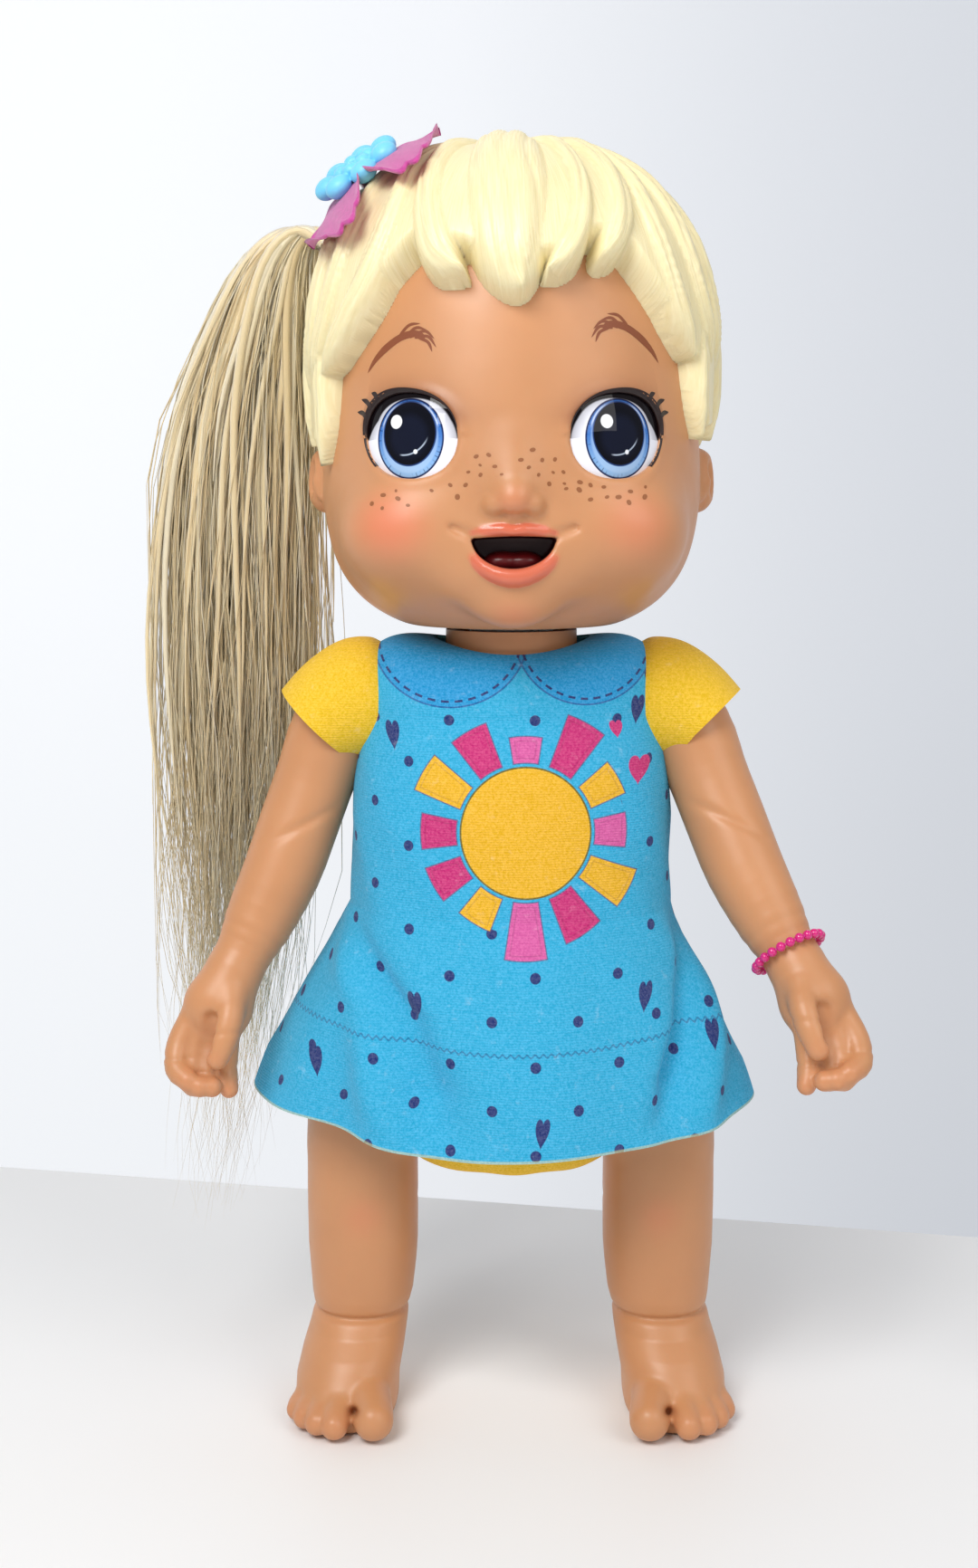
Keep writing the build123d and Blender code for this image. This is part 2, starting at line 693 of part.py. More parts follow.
# ---- legs and hip hubs ---------------------------------------------------------------------------
LEG = [
    (0.0, 15.8, 29.0, 53.0, -10.5),
    (4.0, 17.6, 31.0, 53.0, -10.5),
    (11.0, 17.6, 30.0, 52.7, -10.0),
    (18.0, 17.0, 25.5, 51.2, -6.0),
    (25.0, 16.2, 20.0, 49.6, -1.5),
    (31.0, 15.6, 17.6, 48.6, 0),
    (40.0, 16.5, 18.0, 48.2, 0),
    (52.0, 17.3, 18.8, 47.9, 0),
    (68.0, 17.6, 19.6, 47.8, 0),
    (HIP_Z, 17.6, 20.3, 47.8, 0),
]
with BuildPart() as leg:
    with Locations(((LEG_INNER_X + 63) / 2, 0, HIP_Z)):
        Cylinder(HIP_DISC_R, 63 - LEG_INNER_X, rotation=ACROSS)
    fillet(leg.edges().filter_by(GeomType.CIRCLE).sort_by(Axis.X)[-1], 9)
    add(lofted(LEG, straight=True))
    with Locations((LEG_INNER_X - 10, 0, 60)):
        Box(20, 100, 130, mode=Mode.SUBTRACT)
    add(lofted(LEG[2:], -WALL, straight=True), mode=Mode.SUBTRACT)
    with Locations((46, 0, HIP_Z)):
        Cylinder(HIP_DISC_R - 5, 26, rotation=ACROSS, mode=Mode.SUBTRACT)
    with Locations((LEG_INNER_X + 2, 0, HIP_Z)):
        Cylinder(12.5, 8, rotation=ACROSS, mode=Mode.SUBTRACT)
both_sides(leg.part, "leg")
with BuildPart() as hip_hub:
    with Locations((LEG_INNER_X + HUB_PLATE / 2, 0, HIP_Z)):
        Cylinder(12.45, HUB_PLATE, rotation=ACROSS)
    with Locations((27.0, 0, HIP_Z)):
        Cylinder(HIP_AXLE_R, 8, rotation=ACROSS)
    with Locations((23.2, 0, HIP_Z)):
        Cylinder(HIP_AXLE_R + 3, 3, rotation=ACROSS)
both_sides(hip_hub.part, "hip_hub")

# ---- clothes: plain closed solids ----------------------------------------------------------------
CLOTH = 1.2
WAIST_Z = 165.0
HEM_Z = 98.0
BACK_SLIT_HALF_X = 27.0
BODICE = [
    (WAIST_Z, 50, 38.5, 0, 0),
    (185.0, 47.5, 37, 0, 0),
    (200.0, 46.5, 35.5, 0, 0),
    (215.0, 46.3, 32, 0, 0),
    (232.0, 43.5, 28, 0, 0),
    (241.0, 31.8, 25.4, 0, 0),
    (246.0, 25.2, 24.6, 0, 0),
]
SKIRT = [
    (HEM_Z, 79.5, 58, 0, 0),
    (112.0, 75.5, 55.5, 0, 0),
    (130.0, 68.0, 51, 0, 0),
    (150.0, 57.0, 43.5, 0, 0),
    (WAIST_Z, 50, 38.5, 0, 0),
]
ARMHOLE_R = 20.4
with BuildPart() as bodice:
    add(lofted(BODICE))
    add(lofted(BODICE, -CLOTH), mode=Mode.SUBTRACT)
    for side in (-1, 1):
        with Locations((side * 50, 0, SHOULDER_Z)):
            Cylinder(ARMHOLE_R, 24, rotation=ACROSS, mode=Mode.SUBTRACT)
    with Locations((0, 40, 180)):
        Box(2 * BACK_SLIT_HALF_X, 80, 86, mode=Mode.SUBTRACT)
save(bodice.part, "dress_bodice")
with BuildPart() as skirt:
    add(lofted(SKIRT))
    add(lofted(SKIRT, -CLOTH), mode=Mode.SUBTRACT)
    with Locations((0, 40, 176)):
        Box(2 * BACK_SLIT_HALF_X, 80, 80, mode=Mode.SUBTRACT)
save(skirt.part, "dress_skirt")
with BuildPart() as tab:
    with Locations((0, 29.4, 234)):
        Box(18, 1.6, 9)
save(tab.part, "dress_closure")

SLEEVE = [
    (Vector(44.4, 0, SHOULDER_Z), Vector(1, 0, 0), 18.0),
    (Vector(53, 0, 225.5), Vector(0.9, 0, -0.45), 18.2),
    (Vector(60.5, 0, 218), Vector(0.7, 0, -0.72), 17.9),
]
with BuildPart() as sleeve:
    for inward, how in ((0, Mode.ADD), (1.1, Mode.SUBTRACT)):
        with BuildPart(mode=Mode.PRIVATE) as layer:
            for centre, along, radius in SLEEVE:
                with BuildSketch(Plane(origin=centre, x_dir=(0, 1, 0), z_dir=along)):
                    Circle(radius - inward)
            loft()
        add(layer.part, mode=how)
save(sleeve.part.rotate(forward, LEFT_ARM_SWING), "sleeve_left")
save(mirror(sleeve.part, about=Plane.YZ), "sleeve_right")

PANTS_TOP_Z = 138.6
with BuildPart() as underpants:
    add(torso_solid(1.5))
    add(torso_solid(0.3), mode=Mode.SUBTRACT)
    with Locations((0, 0, PANTS_TOP_Z + FAR)):
        Box(3 * FAR, 3 * FAR, 2 * FAR, mode=Mode.SUBTRACT)
    with Locations((0, 0, HIP_Z)):
        Cylinder(HIP_AXLE_R + 1.5, 80, rotation=ACROSS, mode=Mode.SUBTRACT)
save(underpants.part, "underpants")
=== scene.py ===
"""Looks of the interactive baby doll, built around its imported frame.

Shapes are worked out in millimetres, in the frame of the doll: the face looks along -Y, +Z is up, and its
left side is at +X. put() turns them into Blender meshes in metres.
"""
import json
import math

import bpy
import numpy as np
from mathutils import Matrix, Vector
from mathutils.bvhtree import BVHTree


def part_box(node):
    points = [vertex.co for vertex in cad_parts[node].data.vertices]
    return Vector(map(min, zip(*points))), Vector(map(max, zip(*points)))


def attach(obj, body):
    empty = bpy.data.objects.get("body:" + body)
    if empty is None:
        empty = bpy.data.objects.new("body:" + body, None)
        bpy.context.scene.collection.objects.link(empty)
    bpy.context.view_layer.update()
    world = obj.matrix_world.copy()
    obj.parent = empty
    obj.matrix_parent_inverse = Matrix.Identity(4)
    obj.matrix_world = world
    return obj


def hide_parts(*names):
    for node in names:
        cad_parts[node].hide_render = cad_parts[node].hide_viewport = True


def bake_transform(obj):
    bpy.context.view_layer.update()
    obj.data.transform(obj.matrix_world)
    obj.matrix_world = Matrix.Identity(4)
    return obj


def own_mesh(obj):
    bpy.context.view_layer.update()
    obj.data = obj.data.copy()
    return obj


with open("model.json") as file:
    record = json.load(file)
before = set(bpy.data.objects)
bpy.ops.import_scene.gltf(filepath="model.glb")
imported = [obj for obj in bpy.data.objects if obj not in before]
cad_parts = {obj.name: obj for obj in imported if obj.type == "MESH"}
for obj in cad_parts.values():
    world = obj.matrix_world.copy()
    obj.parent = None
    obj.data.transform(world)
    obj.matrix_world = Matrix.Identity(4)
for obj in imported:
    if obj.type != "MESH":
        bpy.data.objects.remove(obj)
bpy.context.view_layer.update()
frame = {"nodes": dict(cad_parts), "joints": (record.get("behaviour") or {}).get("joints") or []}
MM = 0.001
rng = np.random.default_rng(7)


# ---- placing from the frame --------------------------------------------------------------------
def node_box(node):
    """The lowest and highest corner of a CAD node, in millimetres."""
    low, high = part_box(node)
    return np.array(low) / MM, np.array(high) / MM


EYE_LOW, EYE_HIGH = node_box("eye_lens_left")
EYE_Z = (EYE_LOW[2] + EYE_HIGH[2]) / 2
EYE_X = 30.0
joint = {j["name"]: j for j in frame["joints"]}
SHOULDER = np.array(joint["shoulder_left"]["pos_m"]) / MM
HIP = np.array(joint["hip_left"]["pos_m"]) / MM
WRIST = np.array(joint["bracelet_turn"]["pos_m"]) / MM
WRIST_ALONG = np.array(joint["bracelet_turn"]["axis"])
LEFT_ARM_SWING = math.radians(11.0)


# ---- distance fields ---------------------------------------------------------------------------
def smin(a, b, k):
    """The smaller of two distances, rounded where they meet."""
    h = np.maximum(k - np.abs(a - b), 0.0) / k
    return np.minimum(a, b) - h * h * k / 4


def smax(a, b, k):
    return -smin(-a, -b, k)


def ellipsoid(p, centre, radii):
    r = np.array(radii, float)
    q = (p - np.array(centre, float)) / r
    near = np.linalg.norm(q, axis=1)
    return near * (near - 1) / np.maximum(np.linalg.norm(q / r, axis=1), 1e-6)


def capsule(p, a, b, ra, rb):
    a, b = np.array(a, float), np.array(b, float)
    ab = b - a
    t = np.clip((p - a) @ ab / (ab @ ab), 0, 1)
    return np.linalg.norm(p - a - t[:, None] * ab, axis=1) - (ra + (rb - ra) * t)


def smooth_path(points, count):
    """Points evenly spaced in parameter along a smooth curve through the given rows."""
    pts = np.array(points, float)
    ext = np.vstack([2 * pts[0] - pts[1], pts, 2 * pts[-1] - pts[-2]])
    s = np.linspace(0, len(pts) - 1, count)
    i = np.minimum(s.astype(int), len(pts) - 2)
    t = (s - i)[:, None]
    p0, p1, p2, p3 = ext[i], ext[i + 1], ext[i + 2], ext[i + 3]
    return 0.5 * (
        2 * p1 + (p2 - p0) * t + (2 * p0 - 5 * p1 + 4 * p2 - p3) * t**2 + (3 * p1 - p0 - 3 * p2 + p3) * t**3
    )


def tube(p, rows, count=14):
    """A limb: rows are (x, y, z, radius) along its middle."""
    path = smooth_path(rows, count)
    d = np.full(len(p), 1e9)
    for a, b in zip(path[:-1], path[1:]):
        d = np.minimum(d, capsule(p, a[:3], b[:3], a[3], b[3]))
    return d


def near(p, low, high, margin):
    """Which points are inside a box grown by margin."""
    return np.all((p > np.array(low) - margin) & (p < np.array(high) + margin), axis=1)


# ---- meshes ------------------------------------------------------------------------------------
BLOCK = 8
CORNERS = np.array([(i, j, k) for i in (0, 1) for j in (0, 1) for k in (0, 1)])
EDGES = [(a, b) for a in range(8) for b in range(a + 1, 8) if np.abs(CORNERS[a] - CORNERS[b]).sum() == 1]


def sampled(field, low, high, step):
    """The field on a grid. Only blocks near the surface are worked out in full."""
    low = np.array(low, float)
    blocks = np.ceil((np.array(high, float) - low) / (step * BLOCK)).astype(int) + 1
    grid = np.empty(blocks * BLOCK, np.float32)
    index = np.argwhere(np.ones(blocks, bool))
    centres = low + (index * BLOCK + (BLOCK - 1) / 2) * step
    d = field(centres)
    reach = BLOCK / 2 * math.sqrt(3) * step * 1.45 + 1.0
    coarse = d.reshape(blocks)
    grid[:] = np.repeat(np.repeat(np.repeat(coarse, BLOCK, 0), BLOCK, 1), BLOCK, 2)
    offsets = np.argwhere(np.ones((BLOCK,) * 3, bool))
    active = index[np.abs(d) < reach]
    for part in np.array_split(active, max(1, len(active) // 1200)):
        nodes = (part[:, None, :] * BLOCK + offsets[None]).reshape(-1, 3)
        grid[tuple(nodes.T)] = field(low + nodes * step)
    return grid, low


def surface(field, low, high, step, polish=2):
    """Vertices and quads of the field's zero level, with the vertices moved onto it."""
    grid, low = sampled(field, low, high, step)
    inside = grid < 0
    count = np.zeros(np.array(grid.shape) - 1, np.int8)
    for c in CORNERS:
        count += inside[tuple(slice(o, n - 1 + o) for o, n in zip(c, grid.shape))]
    cells = np.argwhere((count > 0) & (count < 8))
    number = np.full(count.shape, -1, np.int64)
    number[tuple(cells.T)] = np.arange(len(cells))
    values = np.stack([grid[tuple((cells + c).T)] for c in CORNERS], 1)
    total, hits = np.zeros((len(cells), 3)), np.zeros(len(cells))
    for a, b in EDGES:
        fa, fb = values[:, a], values[:, b]
        cross = (fa < 0) != (fb < 0)
        t = np.where(cross, fa / np.where(cross, fa - fb, 1), 0)
        total += cross[:, None] * (CORNERS[a] + t[:, None] * (CORNERS[b] - CORNERS[a]))
        hits += cross
    verts = low + (cells + total / hits[:, None]) * step
    quads = []
    for axis in range(3):
        u, v = [k for k in range(3) if k != axis]
        e = np.eye(3, dtype=int)
        span = [slice(1, n - 1) for n in grid.shape]
        ahead = list(span)
        ahead[axis] = slice(2, grid.shape[axis])
        here, there = inside[tuple(span)], inside[tuple(ahead)]
        for change, flip in ((here & ~there, False), (~here & there, True)):
            at = np.argwhere(change) + 1
            ring = [at, at - e[u], at - e[u] - e[v], at - e[v]]
            quad = np.stack([number[tuple(c.T)] for c in ring], 1)
            wrong = flip == (axis != 1)
            quads.append(quad if wrong else quad[:, ::-1])
    quads = np.vstack(quads)
    for _ in range(polish):
        d, g = field(verts), gradient(field, verts)
        size = np.maximum((g * g).sum(1), 0.05)
        verts -= np.clip(d / size, -0.5 * step, 0.5 * step)[:, None] * g
    return verts, quads


def gradient(field, p, e=0.05):
    g = np.empty_like(p)
    for axis in range(3):
        h = np.zeros(3)
        h[axis] = e
        g[:, axis] = (field(p + h) - field(p - h)) / (2 * e)
    return g


def put(name, verts, faces, material, sharp=None, values=None):
    """A Blender mesh from millimetre vertices. values are named numbers per vertex that materials read."""
    mesh = bpy.data.meshes.new(name)
    mesh.from_pydata((np.asarray(verts) * MM).tolist(), [], [list(map(int, f)) for f in faces])
    mesh.update()
    mesh.materials.append(material)
    mesh.polygons.foreach_set("use_smooth", [True] * len(mesh.polygons))
    if sharp is not None:
        mesh.set_sharp_from_angle(angle=math.radians(sharp))
    for key, numbers in (values or {}).items():
        layer = mesh.attributes.new(key, "FLOAT", "POINT")
        layer.data.foreach_set("value", np.asarray(numbers, np.float32))
    obj = bpy.data.objects.new(name, mesh)
    bpy.context.scene.collection.objects.link(obj)
    return obj


# ---- materials ---------------------------------------------------------------------------------
def srgb(r, g, b):
    """Linear colour of an sRGB colour given in 0 to 255."""
    c = np.array([r, g, b]) / 255.0
    return tuple(float(v) for v in np.where(c <= 0.04045, c / 12.92, ((c + 0.055) / 1.055) ** 2.4))


class Nodes:
    """A short way to write a material's node tree."""

    def __init__(self, name):
        self.material = bpy.data.materials.new(name)
        self.material.use_nodes = True
        self.tree = self.material.node_tree
        self.shader = self.tree.nodes["Principled BSDF"]

    def add(self, kind, inputs=None, **settings):
        node = self.tree.nodes.new("ShaderNode" + kind)
        for key, value in settings.items():
            setattr(node, key, value)
        for key, value in (inputs or {}).items():
            self.link(value, node.inputs[key])
        return node

    def link(self, value, socket):
        if isinstance(value, bpy.types.NodeSocket):
            self.tree.links.new(value, socket)
        else:
            socket.default_value = value

    def math(self, operation, a, b=0.0):
        node = self.add("Math", operation=operation)
        for value, socket in zip((a, b), node.inputs):
            self.link(value, socket)
        return node.outputs[0]

    def mix(self, factor, a, b):
        node = self.add("Mix", data_type="RGBA", blend_type="MIX")
        self.link(factor, node.inputs[0])
        for value, socket in ((a, node.inputs[6]), (b, node.inputs[7])):
            self.link((*value, 1.0) if isinstance(value, tuple) and len(value) == 3 else value, socket)
        return node.outputs[2]

    def ramp(self, factor, stops, interpolation="LINEAR"):
        node = self.add("ValToRGB", {"Fac": factor})
        node.color_ramp.interpolation = interpolation
        elements = node.color_ramp.elements
        while len(elements) < len(stops):
            elements.new(0.5)
        for element, (place, colour) in zip(elements, stops):
            element.position = place
            element.color = (*colour, 1.0) if len(colour) == 3 else colour
        return node.outputs[0]

    def value(self, name, low=0.0, high=1.0):
        """The mesh's named number, brought from low..high to 0..1."""
        raw = self.add("Attribute", attribute_name=name).outputs["Fac"]
        return self.span(raw, low, high)

    def span(self, raw, low, high):
        node = self.add("MapRange", {"Value": raw, "From Min": low, "From Max": high},
            interpolation_type="SMOOTHSTEP")
        return node.outputs[0]

    def noise(self, scale, detail=2.0, where=None, roughness=0.5):
        where = self.object_place() if where is None else where
        return self.add(
            "TexNoise", {"Vector": where, "Scale": scale, "Detail": detail, "Roughness": roughness}
        ).outputs[0]

    def object_place(self):
        return self.add("TexCoord").outputs["Object"]

    def bump(self, height, strength, distance):
        node = self.add("Bump", {"Height": height, "Strength": strength, "Distance": distance})
        self.tree.links.new(node.outputs[0], self.shader.inputs["Normal"])

    def patchy(self, rough):
        """A roughness that wanders a little over the surface."""
        node = self.add("MapRange", {"Value": self.noise(140.0, 4.0), "To Min": rough - 0.07,
            "To Max": rough + 0.09})
        return node.outputs[0]

    def set(self, **values):
        for key, value in values.items():
            self.link(value, self.shader.inputs[key.replace("_", " ")])


def varied(nodes, colour, amount, scale):
    """A colour that wanders a little in brightness over the surface."""
    darker = tuple(c * (1 - amount) for c in colour)
    lighter = tuple(min(1.0, c * (1 + amount)) for c in colour)
    return nodes.ramp(nodes.noise(scale, 3.0), [(0.3, darker), (0.7, lighter)])


def vinyl(name, colour, rough=0.42, grain=0.06, scatter=0.08, coat=0.0):
    """Moulded vinyl or plastic: fine grain and patchy gloss."""
    n = Nodes(name)
    n.set(Base_Color=varied(n, colour, 0.04, 60.0), Roughness=n.patchy(rough))
    n.shader.inputs["Subsurface Weight"].default_value = scatter
    n.shader.inputs["Subsurface Radius"].default_value = (1.0, 0.35, 0.2)
    n.shader.inputs["Subsurface Scale"].default_value = 0.003
    n.shader.inputs["Coat Weight"].default_value = coat
    n.shader.inputs["Coat Roughness"].default_value = 0.12
    n.bump(n.noise(2600.0, 2.0), grain, 0.0002)
    return n.material


SKIN_BASE = srgb(200, 142, 98)
BLUSH = srgb(226, 122, 92)
LIP = srgb(212, 112, 84)
MOUTH_DARK = srgb(62, 10, 14)


def skin_material():
    """Vinyl skin with sprayed colour: blush, eye shadow, glossy lips and a dark mouth."""
    n = Nodes("skin")
    base = varied(n, SKIN_BASE, 0.035, 45.0)
    base = n.mix(n.value("blush"), base, (*BLUSH, 1.0))
    base = n.mix(n.value("shadow"), base, (*srgb(120, 62, 34), 1.0))
    lips = n.value("lip", 0.0, 0.7)
    base = n.mix(lips, base, (*LIP, 1.0))
    base = n.mix(n.value("lash", 0.05, 0.35), base, (*srgb(34, 14, 12), 1.0))
    mouth = n.value("mouth", 0.0, 0.5)
    n.set(Base_Color=n.mix(mouth, base, (*MOUTH_DARK, 1.0)))
    gloss = n.math("SUBTRACT", 1.0, n.math("MULTIPLY", lips, 0.5))
    n.set(Roughness=n.math("MULTIPLY", n.patchy(0.4), gloss))
    n.shader.inputs["Subsurface Weight"].default_value = 0.12
    n.shader.inputs["Subsurface Radius"].default_value = (1.0, 0.35, 0.2)
    n.shader.inputs["Subsurface Scale"].default_value = 0.004
    n.bump(n.noise(1900.0, 2.0), 0.05, 0.0002)
    return n.material


skin = skin_material()

# ---- camera, lights and floor ------------------------------------------------------------------
def at_mm(obj, place, turn=(0, 0, 0)):
    obj.location = [v * MM for v in place]
    obj.rotation_euler = [math.radians(a) for a in turn]
    bpy.context.scene.collection.objects.link(obj)
    return obj


def plain(name, colour, rough):
    n = Nodes(name)
    n.set(Base_Color=varied(n, colour, 0.02, 3.0), Roughness=rough)
    return n.material


camera = bpy.data.cameras.new("camera")
camera.sensor_fit = "VERTICAL"
camera.sensor_height = 36.0
camera.lens = 43.88
camera.clip_start = 0.01
bpy.context.scene.camera = at_mm(bpy.data.objects.new("camera", camera), (-7, -600, 285), (82.11, 0, 0))


def area_light(name, place, toward, size, watts, colour=(1, 1, 1)):
    light = bpy.data.lights.new(name, "AREA")
    light.shape = "RECTANGLE"
    light.size, light.size_y = size
    light.energy = watts
    light.color = colour
    obj = at_mm(bpy.data.objects.new(name, light), place)
    aim = np.array(toward, float) - np.array(place, float)
    flat = math.hypot(aim[0], aim[1])
    obj.rotation_euler = (math.atan2(flat, -aim[2]), 0, math.atan2(-aim[0], aim[1]))
    return obj


area_light("window", (-420, -800, 1050), (0, 0, 180), (0.6, 0.5), 10.2, (1.0, 0.99, 0.97))
area_light("room", (900, -900, 1000), (0, 0, 200), (0.9, 0.9), 6.4, (1.0, 0.97, 0.94))
area_light("glint", (-330, -620, 560), (0, 0, 300), (0.1, 0.1), 0.35)
world = bpy.data.worlds.new("world")
bpy.context.scene.world = world
bpy.context.scene.view_settings.view_transform = "Standard"
world.use_nodes = True
world.node_tree.nodes["Background"].inputs["Color"].default_value = (0.97, 0.97, 1.0, 1.0)
world.node_tree.nodes["Background"].inputs["Strength"].default_value = 0.38
# painted light on the wall: its colour is lighter at the left and greyer at the right, as light falls from
# the left, and the wall glows with the same colour though it is no lamp
n = Nodes("wall_painted_light")
across = n.add("SeparateXYZ", {"Vector": n.object_place()}).outputs["X"]
light_fall = n.ramp(n.span(across, -0.55, 0.55),
    [(0.0, srgb(236, 239, 242)), (0.45, srgb(226, 229, 233)), (1.0, srgb(200, 204, 210))])
n.set(Base_Color=light_fall, Emission_Color=light_fall, Roughness=0.9)
n.shader.inputs["Emission Strength"].default_value = 0.5
floor = put(
    "floor", [(-3000, -3000, 0), (3000, -3000, 0), (3000, -440, 0), (-3000, 784, 0)], [(0, 1, 2, 3)],
    plain("floor_paint", srgb(240, 240, 240), 0.5),
)
wall = put(
    "wall", [(-6000, 1200, -1500), (6000, 1200, -1500), (6000, 1200, 2600), (-6000, 1200, 2600)],
    [(0, 1, 2, 3)],
    n.material,
)


# ---- head --------------------------------------------------------------------------------------
SKIN_OUTLINE = [
    (0, 252), (22, 252), (34, 253.4), (46.5, 261), (54.5, 273), (58, 291), (57.4, 310), (55.5, 330),
    (51.5, 350), (43, 368), (30, 380.5), (14, 387.5), (0, 388.6),
]
CAP_OUTLINE = [
    (0, 262), (30, 262), (52, 265), (60.2, 273), (62.4, 290), (63.4, 315), (63.6, 335), (61.8, 352),
    (56, 369),
    (44.5, 384), (28, 394), (12, 397.8), (0, 398.2),
]


class Turned:
    """Distance to a solid turned about the Z axis, looked up in a table over radius and height."""

    STEP = 0.5

    def __init__(self, outline):
        pts = np.array(outline, float)
        body = smooth_path(pts[1:], 140)
        path = np.vstack([pts[:1], body])
        self.low = np.array([0.0, pts[:, 1].min() - 25])
        r = np.arange(0, 100, self.STEP)
        z = np.arange(self.low[1], pts[:, 1].max() + 25, self.STEP)
        grid = np.stack(np.meshgrid(r, z, indexing="ij"), -1).reshape(-1, 2)
        best, sign = np.full(len(grid), 1e9), np.zeros(len(grid), bool)
        for a, b in zip(path[:-1], path[1:]):
            ab = b - a
            t = np.clip((grid - a) @ ab / max(ab @ ab, 1e-9), 0, 1)
            best = np.minimum(best, np.linalg.norm(grid - a - t[:, None] * ab, axis=1))
            straddles = (a[1] > grid[:, 1]) != (b[1] > grid[:, 1])
            at = a[0] + (grid[:, 1] - a[1]) * ab[0] / (ab[1] if ab[1] else 1e-9)
            sign ^= straddles & (grid[:, 0] < at)
        self.table = np.where(sign, -best, best).reshape(len(r), len(z))

    def __call__(self, p):
        q = np.stack([np.hypot(p[:, 0], p[:, 1]), p[:, 2]], 1)
        q = (q - self.low) / self.STEP
        q = np.clip(q, 0, np.array(self.table.shape) - 1.001)
        i = q.astype(int)
        f = q - i
        t = self.table
        a = t[i[:, 0], i[:, 1]] * (1 - f[:, 0]) + t[i[:, 0] + 1, i[:, 1]] * f[:, 0]
        b = t[i[:, 0], i[:, 1] + 1] * (1 - f[:, 0]) + t[i[:, 0] + 1, i[:, 1] + 1] * f[:, 0]
        return a * (1 - f[:, 1]) + b * f[:, 1]


skull = Turned(SKIN_OUTLINE)
EYE_TURN = math.radians(18.0)
EYE_WIDE = 14.9
EYE_UP, EYE_DOWN = 11.9, 12.1


def eye_frame(side):
    """Middle of an eye opening, and its across, up and outward directions."""
    out = np.array([side * math.sin(EYE_TURN), -math.cos(EYE_TURN), 0.0])
    across = np.array([math.cos(EYE_TURN), side * math.sin(EYE_TURN), 0.0])
    return np.array([side * EYE_X, -50.2, EYE_Z]), across, np.array([0, 0, 1.0]), out


def eye_place(p, side):
    """Across, up and outward distances of points from the middle of an eye."""
    centre, across, up, out = eye_frame(side)
    q = p - centre
    return q @ across, q @ up, q @ out


def eye_edge(u, v, side):
    """Below 1 inside the eye opening: round below, a flatter arch above, lifted at the outer corner."""
    v = v - 0.05 * side * u
    tall = np.where(v > 0, EYE_UP, EYE_DOWN)
    return (np.abs(u / EYE_WIDE) ** 2.2 + np.abs(v / tall) ** 2.2) ** (1 / 2.2)


def mouth_hole(p):
    """The open mouth: a flat top and a bowl-shaped bottom."""
    x, z = p[:, 0], p[:, 2] - 279.9 - 0.012 * p[:, 0]
    bowl = (np.sqrt((x / 12.0) ** 2 + (z / 8.8) ** 2) - 1) * 7.5
    arch = z - 0.3 + 0.004 * x**2
    flat = smax(bowl, arch, 1.2)
    return smax(flat, p[:, 1] + 44.0, 1.0)


UPPER_LIP = [(-14.6, -54.0, 281.0, 0.5), (-9, -56.6, 281.7, 1.15), (-3.4, -58.2, 282.1, 1.45),
    (0, -58.4, 281.6, 1.35)]
LOWER_LIP = [(-13.9, -54.2, 279.4, 0.6), (-11.7, -55.6, 274.6, 1.5), (-6.4, -57.0, 270.4, 2.3),
    (0, -57.6, 268.8, 2.7)]


def both_sides(rows):
    return rows + [(-x, y, z, r) for x, y, z, r in rows[-2::-1]]


def head_field(p):
    x, z = p[:, 0], p[:, 2]
    d = skull(p)
    face = np.flatnonzero((p[:, 1] < -12) & (z < 335))
    q, f = p[face], d[face]
    for side in (-1, 1):
        f = smin(f, ellipsoid(q, (side * 29, -35, 281), (20.5, 20, 16)), 12)
    f = smin(f, ellipsoid(q, (0, -47.5, 272.5), (20, 9.6, 14)), 9)
    f = smin(f, ellipsoid(q, (0, -46, 261.0), (9.5, 8.2, 6.4)), 7)
    f = smin(f, capsule(q, (0, -52.0, 306), (0, -57.0, 293), 3.0, 3.9), 8)
    f = smin(f, ellipsoid(q, (0, -58.6, 290.6), (4.9, 5.0, 4.5)), 3.2)
    for side in (-1, 1):
        f = smin(f, ellipsoid(q, (side * 5.4, -57.2, 289.0), (3.2, 3.6, 2.9)), 2.0)
        f = smax(f, -ellipsoid(q, (side * 3.0, -60.4, 286.0), (1.7, 1.9, 1.0)), 1.2)
    f = smax(f, -capsule(q, (0, -60.6, 285.6), (0, -60.2, 283.2), 1.0, 1.2), 1.6)
    f = smin(f, tube(q, both_sides(UPPER_LIP), 18), 1.1)
    f = smin(f, tube(q, both_sides(LOWER_LIP), 18), 1.4)
    f = smax(f, -mouth_hole(q), 1.0)
    for side in (-1, 1):
        f = smax(f, -capsule(q, (side * 12.6, -57.9, 280.6), (side * 17.4, -55.9, 282.6), 0.9, 0.4), 2.4)
        u, v, w = eye_place(q, side)
        edge = (eye_edge(u, v, side) - 1) * 12.0
        lid = np.exp(-(((edge - 1.2) / 1.6) ** 2)) * np.where(v > 0, 0.7, 0.3) * (w > -12)
        f = smax(f - lid, -smax(edge, -(skull(q) + 2.6), 0.5), 0.7)
    d[face] = f
    ears = np.flatnonzero(np.abs(x) > 44)
    q, f = p[ears], d[ears]
    mirrored = q * np.array([1, 1, 1.0])
    mirrored[:, 0] = np.abs(mirrored[:, 0])
    ear = ellipsoid(mirrored, (58.6, 6.5, 297.0), (5.6, 7.6, 9.8))
    ear = smax(ear, -ellipsoid(mirrored, (64.4, 3.8, 298.0), (4.4, 4.6, 6.6)), 1.6)
    ear = smin(ear, capsule(mirrored, (59.5, 0.5, 296.5), (58.4, -0.5, 292.5), 1.9, 1.6), 1.6)
    d[ears] = smin(f, ear, 2.6)
    return d


def soft_spot(p, centre, radii):
    """1 in the middle, fading to 0 at the radii and beyond."""
    q = np.linalg.norm((p - np.array(centre, float)) / np.array(radii, float), axis=1)
    return np.clip(1 - q, 0, 1) ** 2 * (3 - 2 * np.clip(1 - q, 0, 1))


